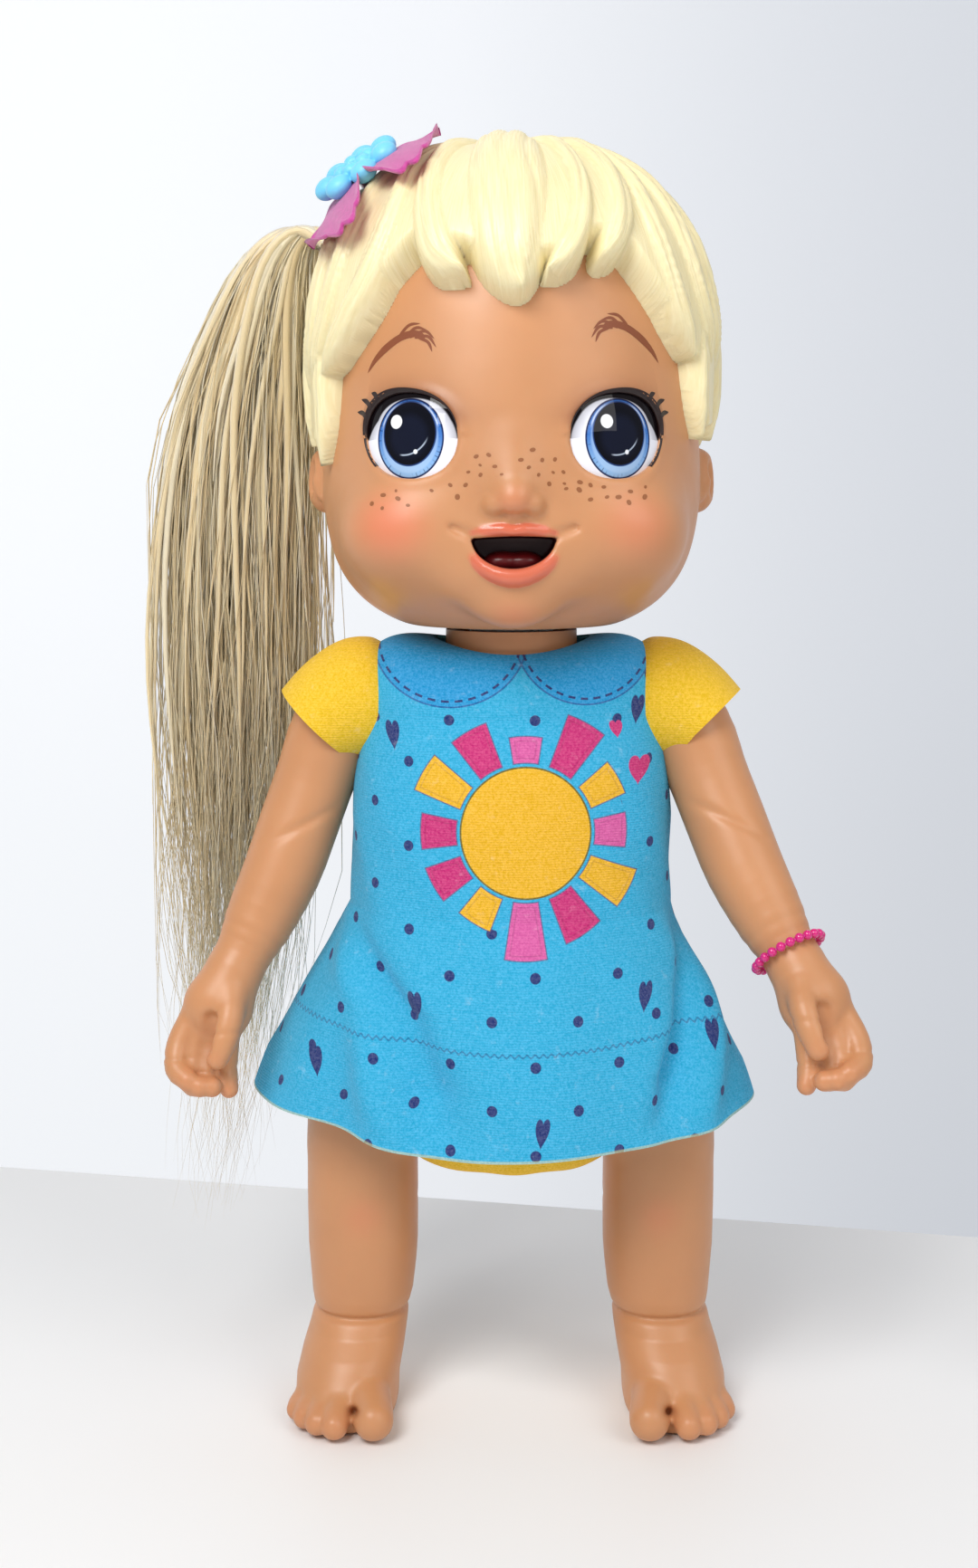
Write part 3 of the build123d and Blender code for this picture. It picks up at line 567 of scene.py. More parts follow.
verts, faces = surface(head_field, (-68, -68, 248), (68, 62, 392), 0.85)
lips = 0.9 - np.minimum(tube(verts, both_sides(UPPER_LIP), 18), tube(verts, both_sides(LOWER_LIP), 18))
cavity = np.minimum(0.7 - mouth_hole(verts), (verts[:, 1] + 56.6) * 0.8)
blush = 0.85 * soft_spot(verts, (-33, -47, 283), (20, 22, 17)) + 0.6 * soft_spot(verts, (33, -47, 283),
    (20, 22, 17))
blush += 0.45 * soft_spot(verts, (0, -61, 290), (9, 9, 8)) + 0.35 * soft_spot(verts, (0, -54, 258),
    (14, 10, 9))
lid_shade, lash_line = np.zeros(len(verts)), np.zeros(len(verts))
for side in (-1, 1):
    u, v, w = eye_place(verts, side)
    edge = (eye_edge(u, v, side) - 1) * 12.0
    above = np.clip(v / 6.0 + 0.15, 0, 1)
    lid_shade = np.maximum(lid_shade, 0.72 * np.exp(-np.clip(edge, 0, 99) / 4.2) * above * (w > -8))
    outer = np.clip(0.5 + side * u / 22.0, 0, 1)
    line = np.minimum(0.25 + 1.3 * outer * above - edge, (w + 8) * (above > 0.05))
    lash_line = np.maximum(lash_line, line)
head = put(
    "head_skin", verts, faces, skin,
    values={"lip": np.where(lips > 0, lips, 0), "mouth": np.clip(cavity, 0, 2), "blush": blush,
    "shadow": lid_shade,
            "lash": np.clip(lash_line, 0, 3)},
)
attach(head, "head")
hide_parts("head_shell", "mouth_cup")


def onto(points, toward, field, lift):
    """Points moved along toward until they meet the field's surface, stopping lift above it."""
    p, way = np.array(points, float), np.array(toward, float)
    way = way / np.linalg.norm(way)
    for _ in range(60):
        p += (field(p) - lift)[:, None] * way * 0.8
    return p


def eye_surface(u, v, side, lift):
    """Points of the eye's shiny face at across and up distances from its middle."""
    centre, across, up, out = eye_frame(side)
    bulge = 1.5 * np.clip(1 - eye_edge(u, v, side) ** 2, -0.3, 1)
    start = centre + u[:, None] * across + v[:, None] * up + 14 * out
    return onto(start, -out, lambda p: skull(p), bulge + lift)


EYE_WHITE, EYE_RIM = srgb(238, 240, 250), srgb(14, 32, 84)
IRIS_LOW, IRIS_HIGH = srgb(150, 194, 240), srgb(62, 118, 196)


def eye_material():
    """The printed eye under clear plastic: white, ticked iris, pupil, highlights and lash line, with painted
    shade fading down from the upper lash line.
    """
    n = Nodes("eye_print")
    x = n.add("Attribute", attribute_name="across").outputs["Fac"]
    y = n.add("Attribute", attribute_name="up").outputs["Fac"]

    def circle(cx, cy, stretch=1.0):
        dx = n.math("SUBTRACT", x, cx)
        dy = n.math("MULTIPLY", n.math("SUBTRACT", y, cy), 1 / stretch)
        return n.math("SQRT", n.math("ADD", n.math("MULTIPLY", dx, dx), n.math("MULTIPLY", dy, dy))), dx, dy

    def disc(cx, cy, radius, stretch=1.0, soft=0.12):
        return n.span(circle(cx, cy, stretch)[0], radius + soft, radius - soft)

    iris_r, dx, dy = circle(0.2, -0.9, 1.04)
    angle = n.math("ARCTAN2", dy, dx)
    ticks = n.math("SINE", n.math("MULTIPLY", angle, 46.0))
    uneven = n.noise(420.0, 2.0)
    ticks = n.math("MULTIPLY", n.span(ticks, 0.6, 0.95), n.span(uneven, 0.42, 0.62))
    iris = n.mix(n.span(y, -12.0, 2.0), (*IRIS_LOW, 1.0), (*IRIS_HIGH, 1.0))
    iris = n.mix(n.math("MULTIPLY", ticks, n.math("MULTIPLY", n.span(iris_r, 9.2, 9.7), 0.55)), iris,
        (*EYE_RIM, 1.0))
    iris = n.mix(n.math("MULTIPLY", n.span(iris_r, 9.6, 8.9), 0.35), iris, (*srgb(196, 222, 250), 1.0))
    iris = n.mix(n.span(iris_r, 10.2, 10.6), iris, (*EYE_RIM, 1.0))
    colour = n.mix(n.span(circle(0.2, -0.9, 1.04)[0], 11.0, 10.8), (*EYE_WHITE, 1.0), iris)
    colour = n.mix(disc(0.2, 0.5, 8.75, 1.05), colour, (*srgb(40, 66, 120), 1.0))
    colour = n.mix(disc(0.2, 0.5, 8.4, 1.05), colour, (*srgb(7, 9, 20), 1.0))
    glow = n.math("MULTIPLY", n.span(circle(0.2, -0.4)[0], 7.6, 4.5), 0.18)
    colour = n.mix(glow, colour, (*srgb(40, 50, 84), 1.0))
    ring = circle(0.2, -0.2, 1.05)[0]
    band = n.math("MULTIPLY", n.span(ring, 9.0, 9.25), n.span(ring, 9.75, 9.5))
    band = n.math("MULTIPLY", band, n.math("MULTIPLY", n.span(y, 1.5, 4.0), n.span(y, 9.5, 7.5)))
    colour = n.mix(n.math("MULTIPLY", band, 0.75), colour, (*srgb(205, 220, 245), 1.0))
    arc = circle(-1.3, 3.0)[0]
    arc = n.math("MULTIPLY", n.span(arc, 8.2, 8.35), n.span(arc, 8.8, 8.65))
    arc = n.math("MULTIPLY", arc, n.math("MULTIPLY", n.span(x, -3.0, -1.5), n.span(x, 6.6, 5.0)))
    arc = n.math("MULTIPLY", arc, n.span(y, 0.0, -1.0))
    colour = n.mix(n.math("MULTIPLY", arc, 0.7), colour, (*srgb(190, 205, 225), 1.0))
    colour = n.mix(disc(2.5, -4.6, 0.65), colour, (*srgb(240, 244, 250), 1.0))
    colour = n.mix(disc(-4.0, 3.9, 1.95), colour, (*srgb(246, 248, 252), 1.0))
    lash = n.value("lash", -0.25, 0.25)
    # painted shade: the eye darkens for 3.4 mm below the upper lash line, where the upper lid's shadow falls
    shade = n.value("lash", -3.4, 0.2)
    colour = n.mix(n.math("MULTIPLY", shade, 0.4), colour, (*srgb(24, 20, 40), 1.0))
    colour = n.mix(lash, colour, (*srgb(14, 8, 12), 1.0))
    n.set(Base_Color=colour, Roughness=n.add("MapRange",
        {"Value": n.noise(300.0), "To Min": 0.1, "To Max": 0.2}).outputs[0])
    n.shader.inputs["Specular IOR Level"].default_value = 0.0
    n.shader.inputs["Coat Weight"].default_value = 0.45
    n.shader.inputs["Coat Roughness"].default_value = 0.03
    return n.material


eye_print = eye_material()
rings, spokes = 40, 96
radius, turn = np.meshgrid(np.linspace(0.0, 1.0, rings + 1)[1:], np.arange(spokes) / spokes * 2 * math.pi,
    indexing="ij")
for side, name in ((-1, "right"), (1, "left")):
    c, sn = np.cos(turn).ravel(), np.sin(turn).ravel()
    reach = radius.ravel() * 1.03 / eye_edge(c, sn + 0 * c, side)
    u = np.append(reach * c, 0.0)
    v = np.append(reach * sn, 0.0)
    front = eye_surface(u, v, side, -0.5)
    ring = (rings - 1) * spokes + np.arange(spokes)
    back = front[ring] - 2.2 * eye_frame(side)[3]
    verts = np.vstack([front, back, [back.mean(0)]])
    middle, base = len(front) - 1, len(front)
    faces = []
    for k in range(spokes):
        nxt = (k + 1) % spokes
        faces.append((middle, k, nxt))
        faces.append((ring[k], base + k, base + nxt, ring[nxt]))
        faces.append((base + nxt, base + k, base + spokes))
        for j in range(rings - 1):
            faces.append((j * spokes + k, (j + 1) * spokes + k, (j + 1) * spokes + nxt, j * spokes + nxt))
    uu, vv = np.concatenate([u, u[ring], [0]]), np.concatenate([v, v[ring], [0]])
    inward = (1 - eye_edge(uu, vv, side)) * 12.0
    outer = np.clip(0.5 + side * uu / 22.0, 0, 1)
    upper = np.clip((vv + 1.5) / 6.0, 0, 1)
    thick = (0.9 + 1.9 * outer**1.5) * upper
    eye = put(
        "eye_" + name, verts, faces, eye_print,
        values={"across": uu, "up": vv, "lash": np.where(upper > 0, thick - inward, -9.0)},
    )
    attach(eye, "head")
    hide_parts("eye_lens_" + name, "eye_shell_" + name)


# ---- paint on the face -------------------------------------------------------------------------
def stroke(path, widths, across_way):
    """A flat ribbon of quads round a path; across_way is the direction seen face on."""
    path = np.array(path, float)
    along = np.gradient(path, axis=0)
    along /= np.linalg.norm(along, axis=1)[:, None]
    side = np.cross(along, across_way)
    side /= np.maximum(np.linalg.norm(side, axis=1), 1e-6)[:, None]
    w = np.array(widths, float)[:, None]
    verts = np.vstack([path - side * w, path, path + side * w])
    n = len(path)
    quads = [(k, k + 1, n + k + 1, n + k) for k in range(n - 1)]
    quads += [(n + k, n + k + 1, 2 * n + k + 1, 2 * n + k) for k in range(n - 1)]
    return verts, quads


def gathered(parts):
    """One list of vertices and faces from several."""
    verts, faces, start = [], [], 0
    for v, f in parts:
        verts.append(np.asarray(v, float))
        faces += [tuple(int(i) + start for i in face) for face in f]
        start += len(v)
    return np.vstack(verts), faces


def painted(name, parts, way, material, lift=0.07):
    verts, faces = gathered(parts)
    verts = onto(verts, way, head_field, lift)
    obj = put(name, verts, faces, material)
    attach(obj, "head")
    return obj


def taper(count, wide, first, last):
    """Widths along a stroke: narrow ends and a full middle."""
    t = np.linspace(0, 1, count)
    return wide * np.minimum(1, np.minimum(first + t / 0.35, last + (1 - t) / 0.35)) ** 0.7


FRONT = np.array([0, 1.0, 0])
brow_paint = vinyl("brow_paint", srgb(132, 70, 40), rough=0.5, scatter=0.0)
lash_paint = vinyl("lash_paint", srgb(34, 14, 12), rough=0.45, scatter=0.0)
freckle_paint = vinyl("freckle_paint", srgb(146, 88, 48), rough=0.5, scatter=0.0)
BROW = [(42.0, 328.4, 0), (39.6, 332.0, 0), (36.0, 335.4, 0), (31.8, 337.9, 0), (27.6, 338.6, 0),
    (25.0, 337.4, 0)]
BROW_HAIRS = [
    ((31.0, 337.4), (27.8, 340.2), (24.4, 339.4)), ((29.4, 337.6), (25.2, 339.2), (22.3, 336.8)),
    ((28.0, 337.4), (24.2, 337.6), (21.8, 334.4)), ((27.0, 337.4), (24.2, 336.0), (23.0, 333.2)),
    ((33.0, 337.6), (29.8, 341.0), (26.4, 341.4)),
]
parts = []
for side in (-1, 1):
    lean = -1.6 if side < 0 else 1.2
    path = smooth_path([(side * x, z, 0) for x, z, _ in BROW], 30)
    path = np.stack([path[:, 0], np.full(30, -75.0), path[:, 1] + lean], 1)
    parts.append(stroke(path, taper(30, 1.0, 0.0, 0.3), FRONT))
    for hair in BROW_HAIRS:
        path = smooth_path([(side * x, z, 0) for x, z in hair], 12)
        path = np.stack([path[:, 0], np.full(12, -75.0), path[:, 1] + lean], 1)
        parts.append(stroke(path, taper(12, 0.42, 0.5, 0.0), FRONT))
painted("brows", parts, FRONT, brow_paint)

# Places x, z of the freckles. They are not from a formula: they were read off the photograph by eye and
# turned into millimetres by another program. They should be replaced by a scatter.
FRECKLES = [
    (-39.4, 289.7), (-36.1, 292.1), (-36.3, 288.4), (-32.4, 293.3), (-31.8, 291.1), (-28.9, 289.2),
    (-22.2, 293.3),
    (-16.9, 294.8), (-14.9, 291.5), (-12.6, 294.8), (-11.8, 298.4), (-9.6, 302.7), (-8.5, 300.3),
    (-8.4, 297.6),
    (-6.1, 303.1), (-4.4, 299.9), (-2.5, 297.7), (2.9, 301.7), (5.1, 299.6), (6.2, 304.5), (7.9, 297.6),
    (8.9, 301.7), (10.9, 295.1), (12.0, 298.3), (12.5, 301.9), (14.9, 298.4), (15.2, 295.2), (15.7, 293.8),
    (19.6, 295.6), (19.4, 293.5), (22.6, 294.8), (22.6, 290.8), (26.4, 294.3), (27.3, 291.5), (30.6, 291.5),
    (34.1, 293.1), (33.6, 290.0), (38.6, 294.4), (38.3, 291.6),
]
parts = []
for x, z in FRECKLES:
    size = rng.uniform(0.38, 0.72)
    a = np.linspace(0, 2 * math.pi, 13)[:-1]
    wobble = size * (1 + 0.15 * np.sin(2 * a + rng.uniform(0, 6)))
    rim = np.stack([x - 1.0 + wobble * 1.15 * np.cos(a), np.full(12, -75.0), z - 0.3 + wobble * np.sin(a)], 1)
    parts.append((np.vstack([rim, [[x - 1.0, -75.0, z - 0.3]]]), [(k, (k + 1) % 12, 12) for k in range(12)]))
painted("freckles", parts, FRONT, freckle_paint)

for side, name in ((-1, "right"), (1, "left")):
    centre, across, up, out = eye_frame(side)

    def rim(angle, offset):
        """A place seen face on, offset outside the eye opening at an angle from the outer corner."""
        c, sn = side * np.cos(angle), np.sin(angle)
        reach = 1.0 / eye_edge(c, sn, side) * (1 + offset / 12.0)
        return centre + 30 * out + (reach * c)[:, None] * across + (reach * sn)[:, None] * up

    parts = []
    angle = np.radians(np.linspace(-38, 172, 90))
    weight = np.clip((np.degrees(angle) + 38) / 75, 0, 1) * np.clip((172 - np.degrees(angle)) / 120, 0.0, 1)
    inner, outer = rim(angle, -0.25), rim(angle, 0.35 + 1.75 * weight**1.2)
    count = len(angle)
    middle = (inner + outer) / 2
    parts.append(
        (np.vstack([inner, middle, outer]),
         [(k, k + 1, count + k + 1, count + k) for k in range(count - 1)]
         + [(count + k, count + k + 1, 2 * count + k + 1, 2 * count + k) for k in range(count - 1)])
    )
    for at, reach, lean in ((20, 3.6, 10), (31, 4.2, 12), (43, 3.2, 10)):
        root = rim(np.radians(np.array([at])), 0.8)[0]
        tip = rim(np.radians(np.array([at + lean * 0.2])), reach)[0] + side * 1.2 * across
        bend = (root + tip) / 2 + 0.5 * up - side * 0.3 * across
        parts.append(stroke(smooth_path([root, bend, tip], 10), taper(10, 0.7, 0.9, 0.0), -out))
    painted("lashes_" + name, parts, -out, lash_paint)

# the tongue, a maroon button at the back of the mouth
maroon = vinyl("mouth_red", srgb(104, 18, 22), rough=0.3, scatter=0.1)


def tongue_field(p):
    d = smin(ellipsoid(p, (-3.0, -46.6, 273.0), (5.6, 4.8, 3.0)),
        ellipsoid(p, (3.0, -46.6, 273.0), (5.6, 4.8, 3.0)), 0.7)
    return smax(d, -(p[:, 1] + 52.0), 0.8)


verts, faces = surface(tongue_field, (-11, -54, 268), (11, -40, 278), 0.4)
tongue = put("tongue", verts, faces, maroon)
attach(tongue, "tongue")
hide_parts("tongue_plunger")


# ---- moulded hair ------------------------------------------------------------------------------
cap_shape = Turned(CAP_OUTLINE)
HEAD_MIDDLE = np.array([0, 2.0, 322.0])
ROUND, DOWN = 620, 250


def out_from_middle(way, field, lift=0.0):
    """How far each direction from the middle of the head goes to reach a surface."""
    reach = np.full(len(way), 60.0)
    for _ in range(40):
        reach -= (field(HEAD_MIDDLE + reach[:, None] * way) - lift) * 0.85
    return reach


def on_cap(points):
    way = np.array(points, float) - HEAD_MIDDLE
    way /= np.linalg.norm(way, axis=1)[:, None]
    return HEAD_MIDDLE + out_from_middle(way, cap_shape)[:, None] * way


spin, fall = np.meshgrid(
    np.arange(ROUND) / ROUND * 2 * math.pi, np.radians(np.linspace(0.3, 133.0, DOWN)), indexing="ij"
)
spin, fall = spin.ravel(), fall.ravel()
ways = np.stack([np.sin(fall) * np.sin(spin), -np.sin(fall) * np.cos(spin), np.cos(fall)], 1)
skin_reach = out_from_middle(ways, skull)
cap_reach = out_from_middle(ways, cap_shape)
cap_points = HEAD_MIDDLE + cap_reach[:, None] * ways

# the hairline, unrolled: degrees round from the middle of the face, and height
HAIRLINE = [
    (-180, 275), (-122, 275), (-113, 290), (-106, 309), (-96, 312), (-84, 308), (-76, 306), (-66, 322),
    (-60, 331),
    (-47, 345), (-34, 361), (-29, 366), (-20, 364), (-8, 360), (4, 358), (12, 360), (22, 366), (31, 367),
    (36, 362),
    (46, 347), (56, 337), (64, 328), (74, 311), (84, 312), (96, 315), (106, 311), (113, 290), (122, 275),
    (180, 275),
]
line = np.array(HAIRLINE, float) * [math.radians(1) * 62.0, 1.0]
unrolled = np.stack([np.arctan2(cap_points[:, 0], -cap_points[:, 1]) * 62.0, cap_points[:, 2]], 1)
edge = np.full(len(unrolled), 1e9)
for a, b in zip(line[:-1], line[1:]):
    t = np.clip((unrolled - a) @ (b - a) / ((b - a) @ (b - a)), 0, 1)
    edge = np.minimum(edge, np.linalg.norm(unrolled - a - t[:, None] * (b - a), axis=1))
edge *= np.where(unrolled[:, 1] > np.interp(unrolled[:, 0], line[:, 0], line[:, 1]), 1, -1)
edge = np.where(cap_points[:, 2] > 380, 20, edge)

# locks: places along the middle of each as x, y, z and half its width; then how far it stands up
# and its strands
CROWN = (-4.0, 12.0, 397.0)
ROOT = (-54.0, 22.0, 369.0)
LOCKS = [
    ([(-3, 2, 397, 6), (-2, -20, 390, 12), (-1.7, -40, 375, 15.4), (-1.5, -52, 362, 13.2),
    (0, -56, 352.5, 7.4),
      (2.4, -56, 346.6, 0.6)], 1.6, 4),
    ([(-9, -2, 396, 3), (-19, -24, 385, 5), (-23, -42, 371, 6), (-21.2, -50, 359.5, 7.2),
    (-17.5, -52, 354.4, 4.4),
      (-13.4, -54, 352.2, 0.6)], 0.9, 3),
    ([(3, -2, 396, 3), (13, -26, 386, 4), (17.6, -42, 374, 4.6), (17, -50, 364, 5.2), (13.6, -54, 357, 4.6),
      (8.6, -55, 351.8, 0.6)], 0.8, 2),
    ([(8, -2, 396, 3), (21, -22, 385, 5), (28, -38, 372, 6.2), (28, -46, 363.5, 5.6), (25.6, -49, 359, 3.4),
      (23.6, -50, 356.8, 0.6)], 1.2, 3),
    ([(8, 0, 396, 3), (28, -22, 382, 5), (38.5, -36, 366, 5.6), (47.5, -39, 349.5, 5.4),
    (53.4, -35, 337, 3.2),
      (55.4, -33, 332.4, 0.6)], 0.9, 3),
    ([(8, 4, 396, 3), (32, -12, 384, 6), (46, -24, 368, 6.4), (55, -26, 350, 6), (58.5, -21, 338, 4),
      (60, -18, 331.5, 0.8)], 1.1, 3),
    ([(8, 8, 396, 3), (34, 0, 385, 6), (51, -8, 368, 6.6), (60, -10, 350, 6.4), (63, -6, 336, 4.6),
      (63, -4, 330, 0.8)], 0.9, 3),
    ([(58, -26, 340, 3), (57, -27, 330, 4.6), (57, -26.5, 318, 3.9), (56.8, -25.5, 308, 0.5)], 0.2, 2),
    ([(-14, 0, 395, 3), (-27, -26, 382, 5), (-35, -40, 367, 5.6), (-44.5, -42, 350, 5.6),
    (-53.5, -33, 334, 4.2),
      (-58, -27, 327, 0.8)], 0.9, 3),
    ([(-20, 4, 393, 3), (-36, -16, 381, 6), (-47, -28, 365, 6.4), (-55, -29, 347, 6), (-59.5, -22, 332, 4),
      (-61, -18, 325.6, 0.8)], 1.0, 3),
    ([(-30, 8, 389, 3), (-44, -4, 376, 6), (-55, -14, 360, 6.4), (-61, -16, 342, 6), (-63, -10, 330, 3.6),
      (-63.4, -8, 324, 0.8)], 0.9, 3),
    ([(-59, -24, 334, 3), (-58.6, -24.5, 325, 4.8), (-58.2, -24.5, 311, 4.0), (-57.4, -23.5, 300.4, 0.5)],
    0.2, 2),
    ([(-61, 2, 352, 4), (-63, 0, 338, 5.4), (-63, -1, 322, 4.8), (-62.5, -2, 307, 0.8)], 0.6, 2),
    ([(-57, 12, 360, 4), (-62, 10, 345, 6), (-63, 11, 328, 5.4), (-61.6, 13, 309, 0.8)], 0.6, 3),
    ([(14, 12, 396, 3), (40, 8, 383, 6), (57, 2, 364, 6.6), (63, -1, 345, 6), (63.5, 0, 328, 5),
    (62.5, 1, 309, 0.8)],
     0.9, 3),
    ([(12, 15, 396, 3), (38, 17, 383, 6), (56, 13, 364, 6.6), (62, 12, 344, 6.2), (62.6, 12, 326, 5.2),
      (60.5, 15, 308, 0.8)], 0.9, 3),
]
for degrees in range(116, 245, 13):
    a = math.radians(degrees + rng.uniform(-2, 2))
    sway = rng.uniform(-0.09, 0.09)
    foot = 274 + rng.uniform(-2, 3)
    lock = []
    if degrees <= 194:
        for share, z, wide in ((0.22, 396, 3), (0.62, 386, 5.5), (0.9, 366, 7), (1, 344, 7.6), (1, 318, 7.4),
                               (0.98, 294, 6), (0.95, foot, 0.9)):
            b = a + sway * (396 - z) / 60
            lock.append((62 * share * math.sin(b), 4 - 60 * share * math.cos(b), z, wide))
    else:
        for t, wide in ((0.0, 3), (0.2, 5), (0.45, 7), (0.7, 7.4), (0.88, 6), (1.0, 0.9)):
            z = ROOT[2] + (foot - ROOT[2]) * t
            b = math.radians(291) * (1 - t) ** 1.3 + a * (1 - (1 - t) ** 1.3)
            lock.append((62 * math.sin(b), 4 - 60 * math.cos(b), z, wide))
    LOCKS.append((lock, 0.9 + rng.uniform(-0.2, 0.3), 3))
for degrees in range(-80, 60, 22):
    a = math.radians(degrees)
    lock = [(CROWN[0] + 6 * math.sin(a), CROWN[1] + 6 * math.cos(a), 397, 3)]
    for t, wide in ((0.35, 6), (0.7, 6.4), (1.0, 2)):
        spread = math.sin(math.pi * t) * 26
        lock.append((CROWN[0] + (ROOT[0] - CROWN[0]) * t, CROWN[1] + (ROOT[1] - CROWN[1]) * t + spread
            * math.sin(a),
                     397 - 28 * t, wide))
    LOCKS.append((lock, 0.8, 3))

hidden = skin_reach - 1.4
full = np.clip(edge / 2.4, 0, 1)
hair_reach = np.where(edge > 0, hidden + (cap_reach - 1.9 - hidden) * np.sqrt(1 - (1 - full) ** 2), hidden)
comb, run = unrolled[:, 0].copy(), cap_points[:, 2].copy()
for number, (rows, lift, strands) in enumerate(LOCKS):
    rows = np.array(rows, float)
    path = smooth_path(rows, 26)
    places, wide = on_cap(path[:, :3]), np.maximum(path[:, 3], 0.4)
    steps = np.linalg.norm(np.diff(places, axis=0), axis=1)
    length = np.concatenate([[0], np.cumsum(steps)])
    reachable = np.flatnonzero(near(cap_points, places.min(0), places.max(0), wide.max() + 2))
    p = cap_points[reachable]
    best, t_best, s_best = np.full(len(p), 1e9), np.zeros(len(p)), np.zeros(len(p))
    for k in range(len(places) - 1):
        a, b = places[k], places[k + 1]
        ab = b - a
        t = (p - a) @ ab / (ab @ ab)
        if k == 0:
            t = np.maximum(t, -0.5)
        c = np.clip(t, 0, 1)
        off = p - a - c[:, None] * ab
        width = wide[k] + (wide[k + 1] - wide[k]) * c
        rho = np.linalg.norm(off, axis=1) / width
        outward = (a - HEAD_MIDDLE) / np.linalg.norm(a - HEAD_MIDDLE)
        lateral = off @ (np.cross(ab, outward) / np.linalg.norm(ab)) / width
        better = rho < best
        best = np.where(better, rho, best)
        t_best = np.where(better, lateral, t_best)
        s_best = np.where(better, length[k] + c * steps[k], s_best)
    width_here = np.interp(s_best, length, wide)
    left = length[-1] - s_best
    rise = np.interp(s_best, [0, 0.25 * length[-1]], [-1.2, 0]) + lift * np.clip(left / 14, 0,
        1) - 1.4 * (1 - np.clip(left / 9, 0, 1))
    wander = t_best + 0.12 * np.sin(s_best / 9.0 + number * 1.7)
    ridge = np.abs(np.sin(math.pi * strands * (wander + 1) / 2 + (strands % 2 == 0) * 0)) ** 0.55
    groove = 0.95 * (1 - ridge) * np.clip(width_here / 5.0, 0, 1) * np.clip(left / 5, 0, 1)
    groove += 0.22 * (0.5 - 0.5 * np.cos(2 * math.pi * strands * 3 * wander)) * np.clip(width_here / 5.0, 0,
        1)
    across = np.clip(1 - np.clip(best, 0, 1) ** 3.0, 0, 1) ** 0.5
    here = hidden[reachable]
    top = cap_reach[reachable] + rise - groove
    value = np.where(best < 1, here + (top - here) * across, here)
    higher = value > hair_reach[reachable]
    hair_reach[reachable] = smax(hair_reach[reachable], value, 0.35)
    comb[reachable] = np.where(higher, t_best * width_here + number * 31.0, comb[reachable])
    run[reachable] = np.where(higher, s_best, run[reachable])

under_clip = ellipsoid(cap_points, (-42, -4, 384), (38, 17, 30)) < 0
hair_reach = np.where(under_clip, np.minimum(hair_reach, cap_reach + 1.2), hair_reach)
verts = HEAD_MIDDLE + hair_reach[:, None] * ways
index = np.arange(ROUND * DOWN).reshape(ROUND, DOWN)
ahead = np.roll(index, -1, 0)
quads = np.stack([index[:, :-1], index[:, 1:], ahead[:, 1:], ahead[:, :-1]], -1).reshape(-1, 4)
shown = (hair_reach > skin_reach - 0.9)[quads].any(1)
quads = quads[shown]
used = np.unique(quads)
number_of = np.full(len(verts), -1)
number_of[used] = np.arange(len(used))
top_ring = number_of[index[:, 0]]
faces = [tuple(q) for q in number_of[quads]] + [tuple(top_ring)]


def hair_material():
    n = Nodes("hair_vinyl")
    comb_node = n.add("Attribute", attribute_name="comb").outputs["Fac"]
    run_node = n.add("Attribute", attribute_name="run").outputs["Fac"]
    place = n.add("CombineXYZ", {"X": n.math("MULTIPLY", comb_node, 1.9),
        "Y": n.math("MULTIPLY", run_node, 0.09)}).outputs[0]
    lines = n.noise(1.0, 3.0, place)
    colour = n.ramp(lines, [(0.25, srgb(226, 208, 150)), (0.7, srgb(246, 236, 196))])
    n.set(Base_Color=n.mix(0.45, colour, varied(n, srgb(242, 230, 184), 0.05, 40.0)),
        Roughness=n.patchy(0.34))
    n.shader.inputs["Subsurface Weight"].default_value = 0.1
    n.shader.inputs["Subsurface Radius"].default_value = (1.0, 0.7, 0.4)
    n.shader.inputs["Subsurface Scale"].default_value = 0.004
    n.bump(lines, 0.35, 0.0006)
    return n.material


hair = put("moulded_hair", verts[used], faces, hair_material(), values={"comb": comb[used], "run": run[used]})
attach(hair, "head")
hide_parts("hair_cap")


# ---- arms and hands ----------------------------------------------------------------------------
ARM = [
    (43.6, 0, 227.4, 14.2), (50, 0, 226.4, 14.4), (57, -0.4, 217, 13.4), (61.5, -1.6, 205, 12.6),
    (66.5, -4.4, 191, 12.5), (71.8, -8.2, 176, 12.2), (78.4, -12.6, 161.5, 10.9), (83.2, -16.2, 151.6, 8.9),
    (86.4, -18.6, 145.4, 9.1), (90.0, -21.2, 137.5, 9.2),
]
FINGERS = [
    [(98.6, -22.6, 132.0, 4.4), (102.6, -25.6, 124.0, 4.1), (102.8, -29.8, 117.6, 3.8),
    (99.2, -33.2, 115.0, 3.3)],
    [(95.0, -23.0, 131.0, 4.3), (98.2, -26.0, 120.0, 4.0), (98.4, -30.4, 113.6, 3.7),
    (95.4, -33.6, 113.0, 3.2)],
    [(91.4, -23.2, 131.0, 4.2), (93.6, -26.0, 119.6, 3.9), (94.0, -29.6, 113.4, 3.6),
    (91.8, -32.6, 112.6, 3.1)],
    [(87.8, -23.0, 131.0, 4.1), (88.4, -25.4, 120.0, 3.7), (88.0, -27.4, 114.0, 3.4),
    (87.2, -28.6, 110.9, 2.9)],
]
THUMB = [(86.2, -26.0, 139.5, 4.6), (86.4, -30.8, 133.6, 4.5), (88.0, -33.2, 127.2, 4.2),
    (89.8, -34.2, 122.2, 3.5)]


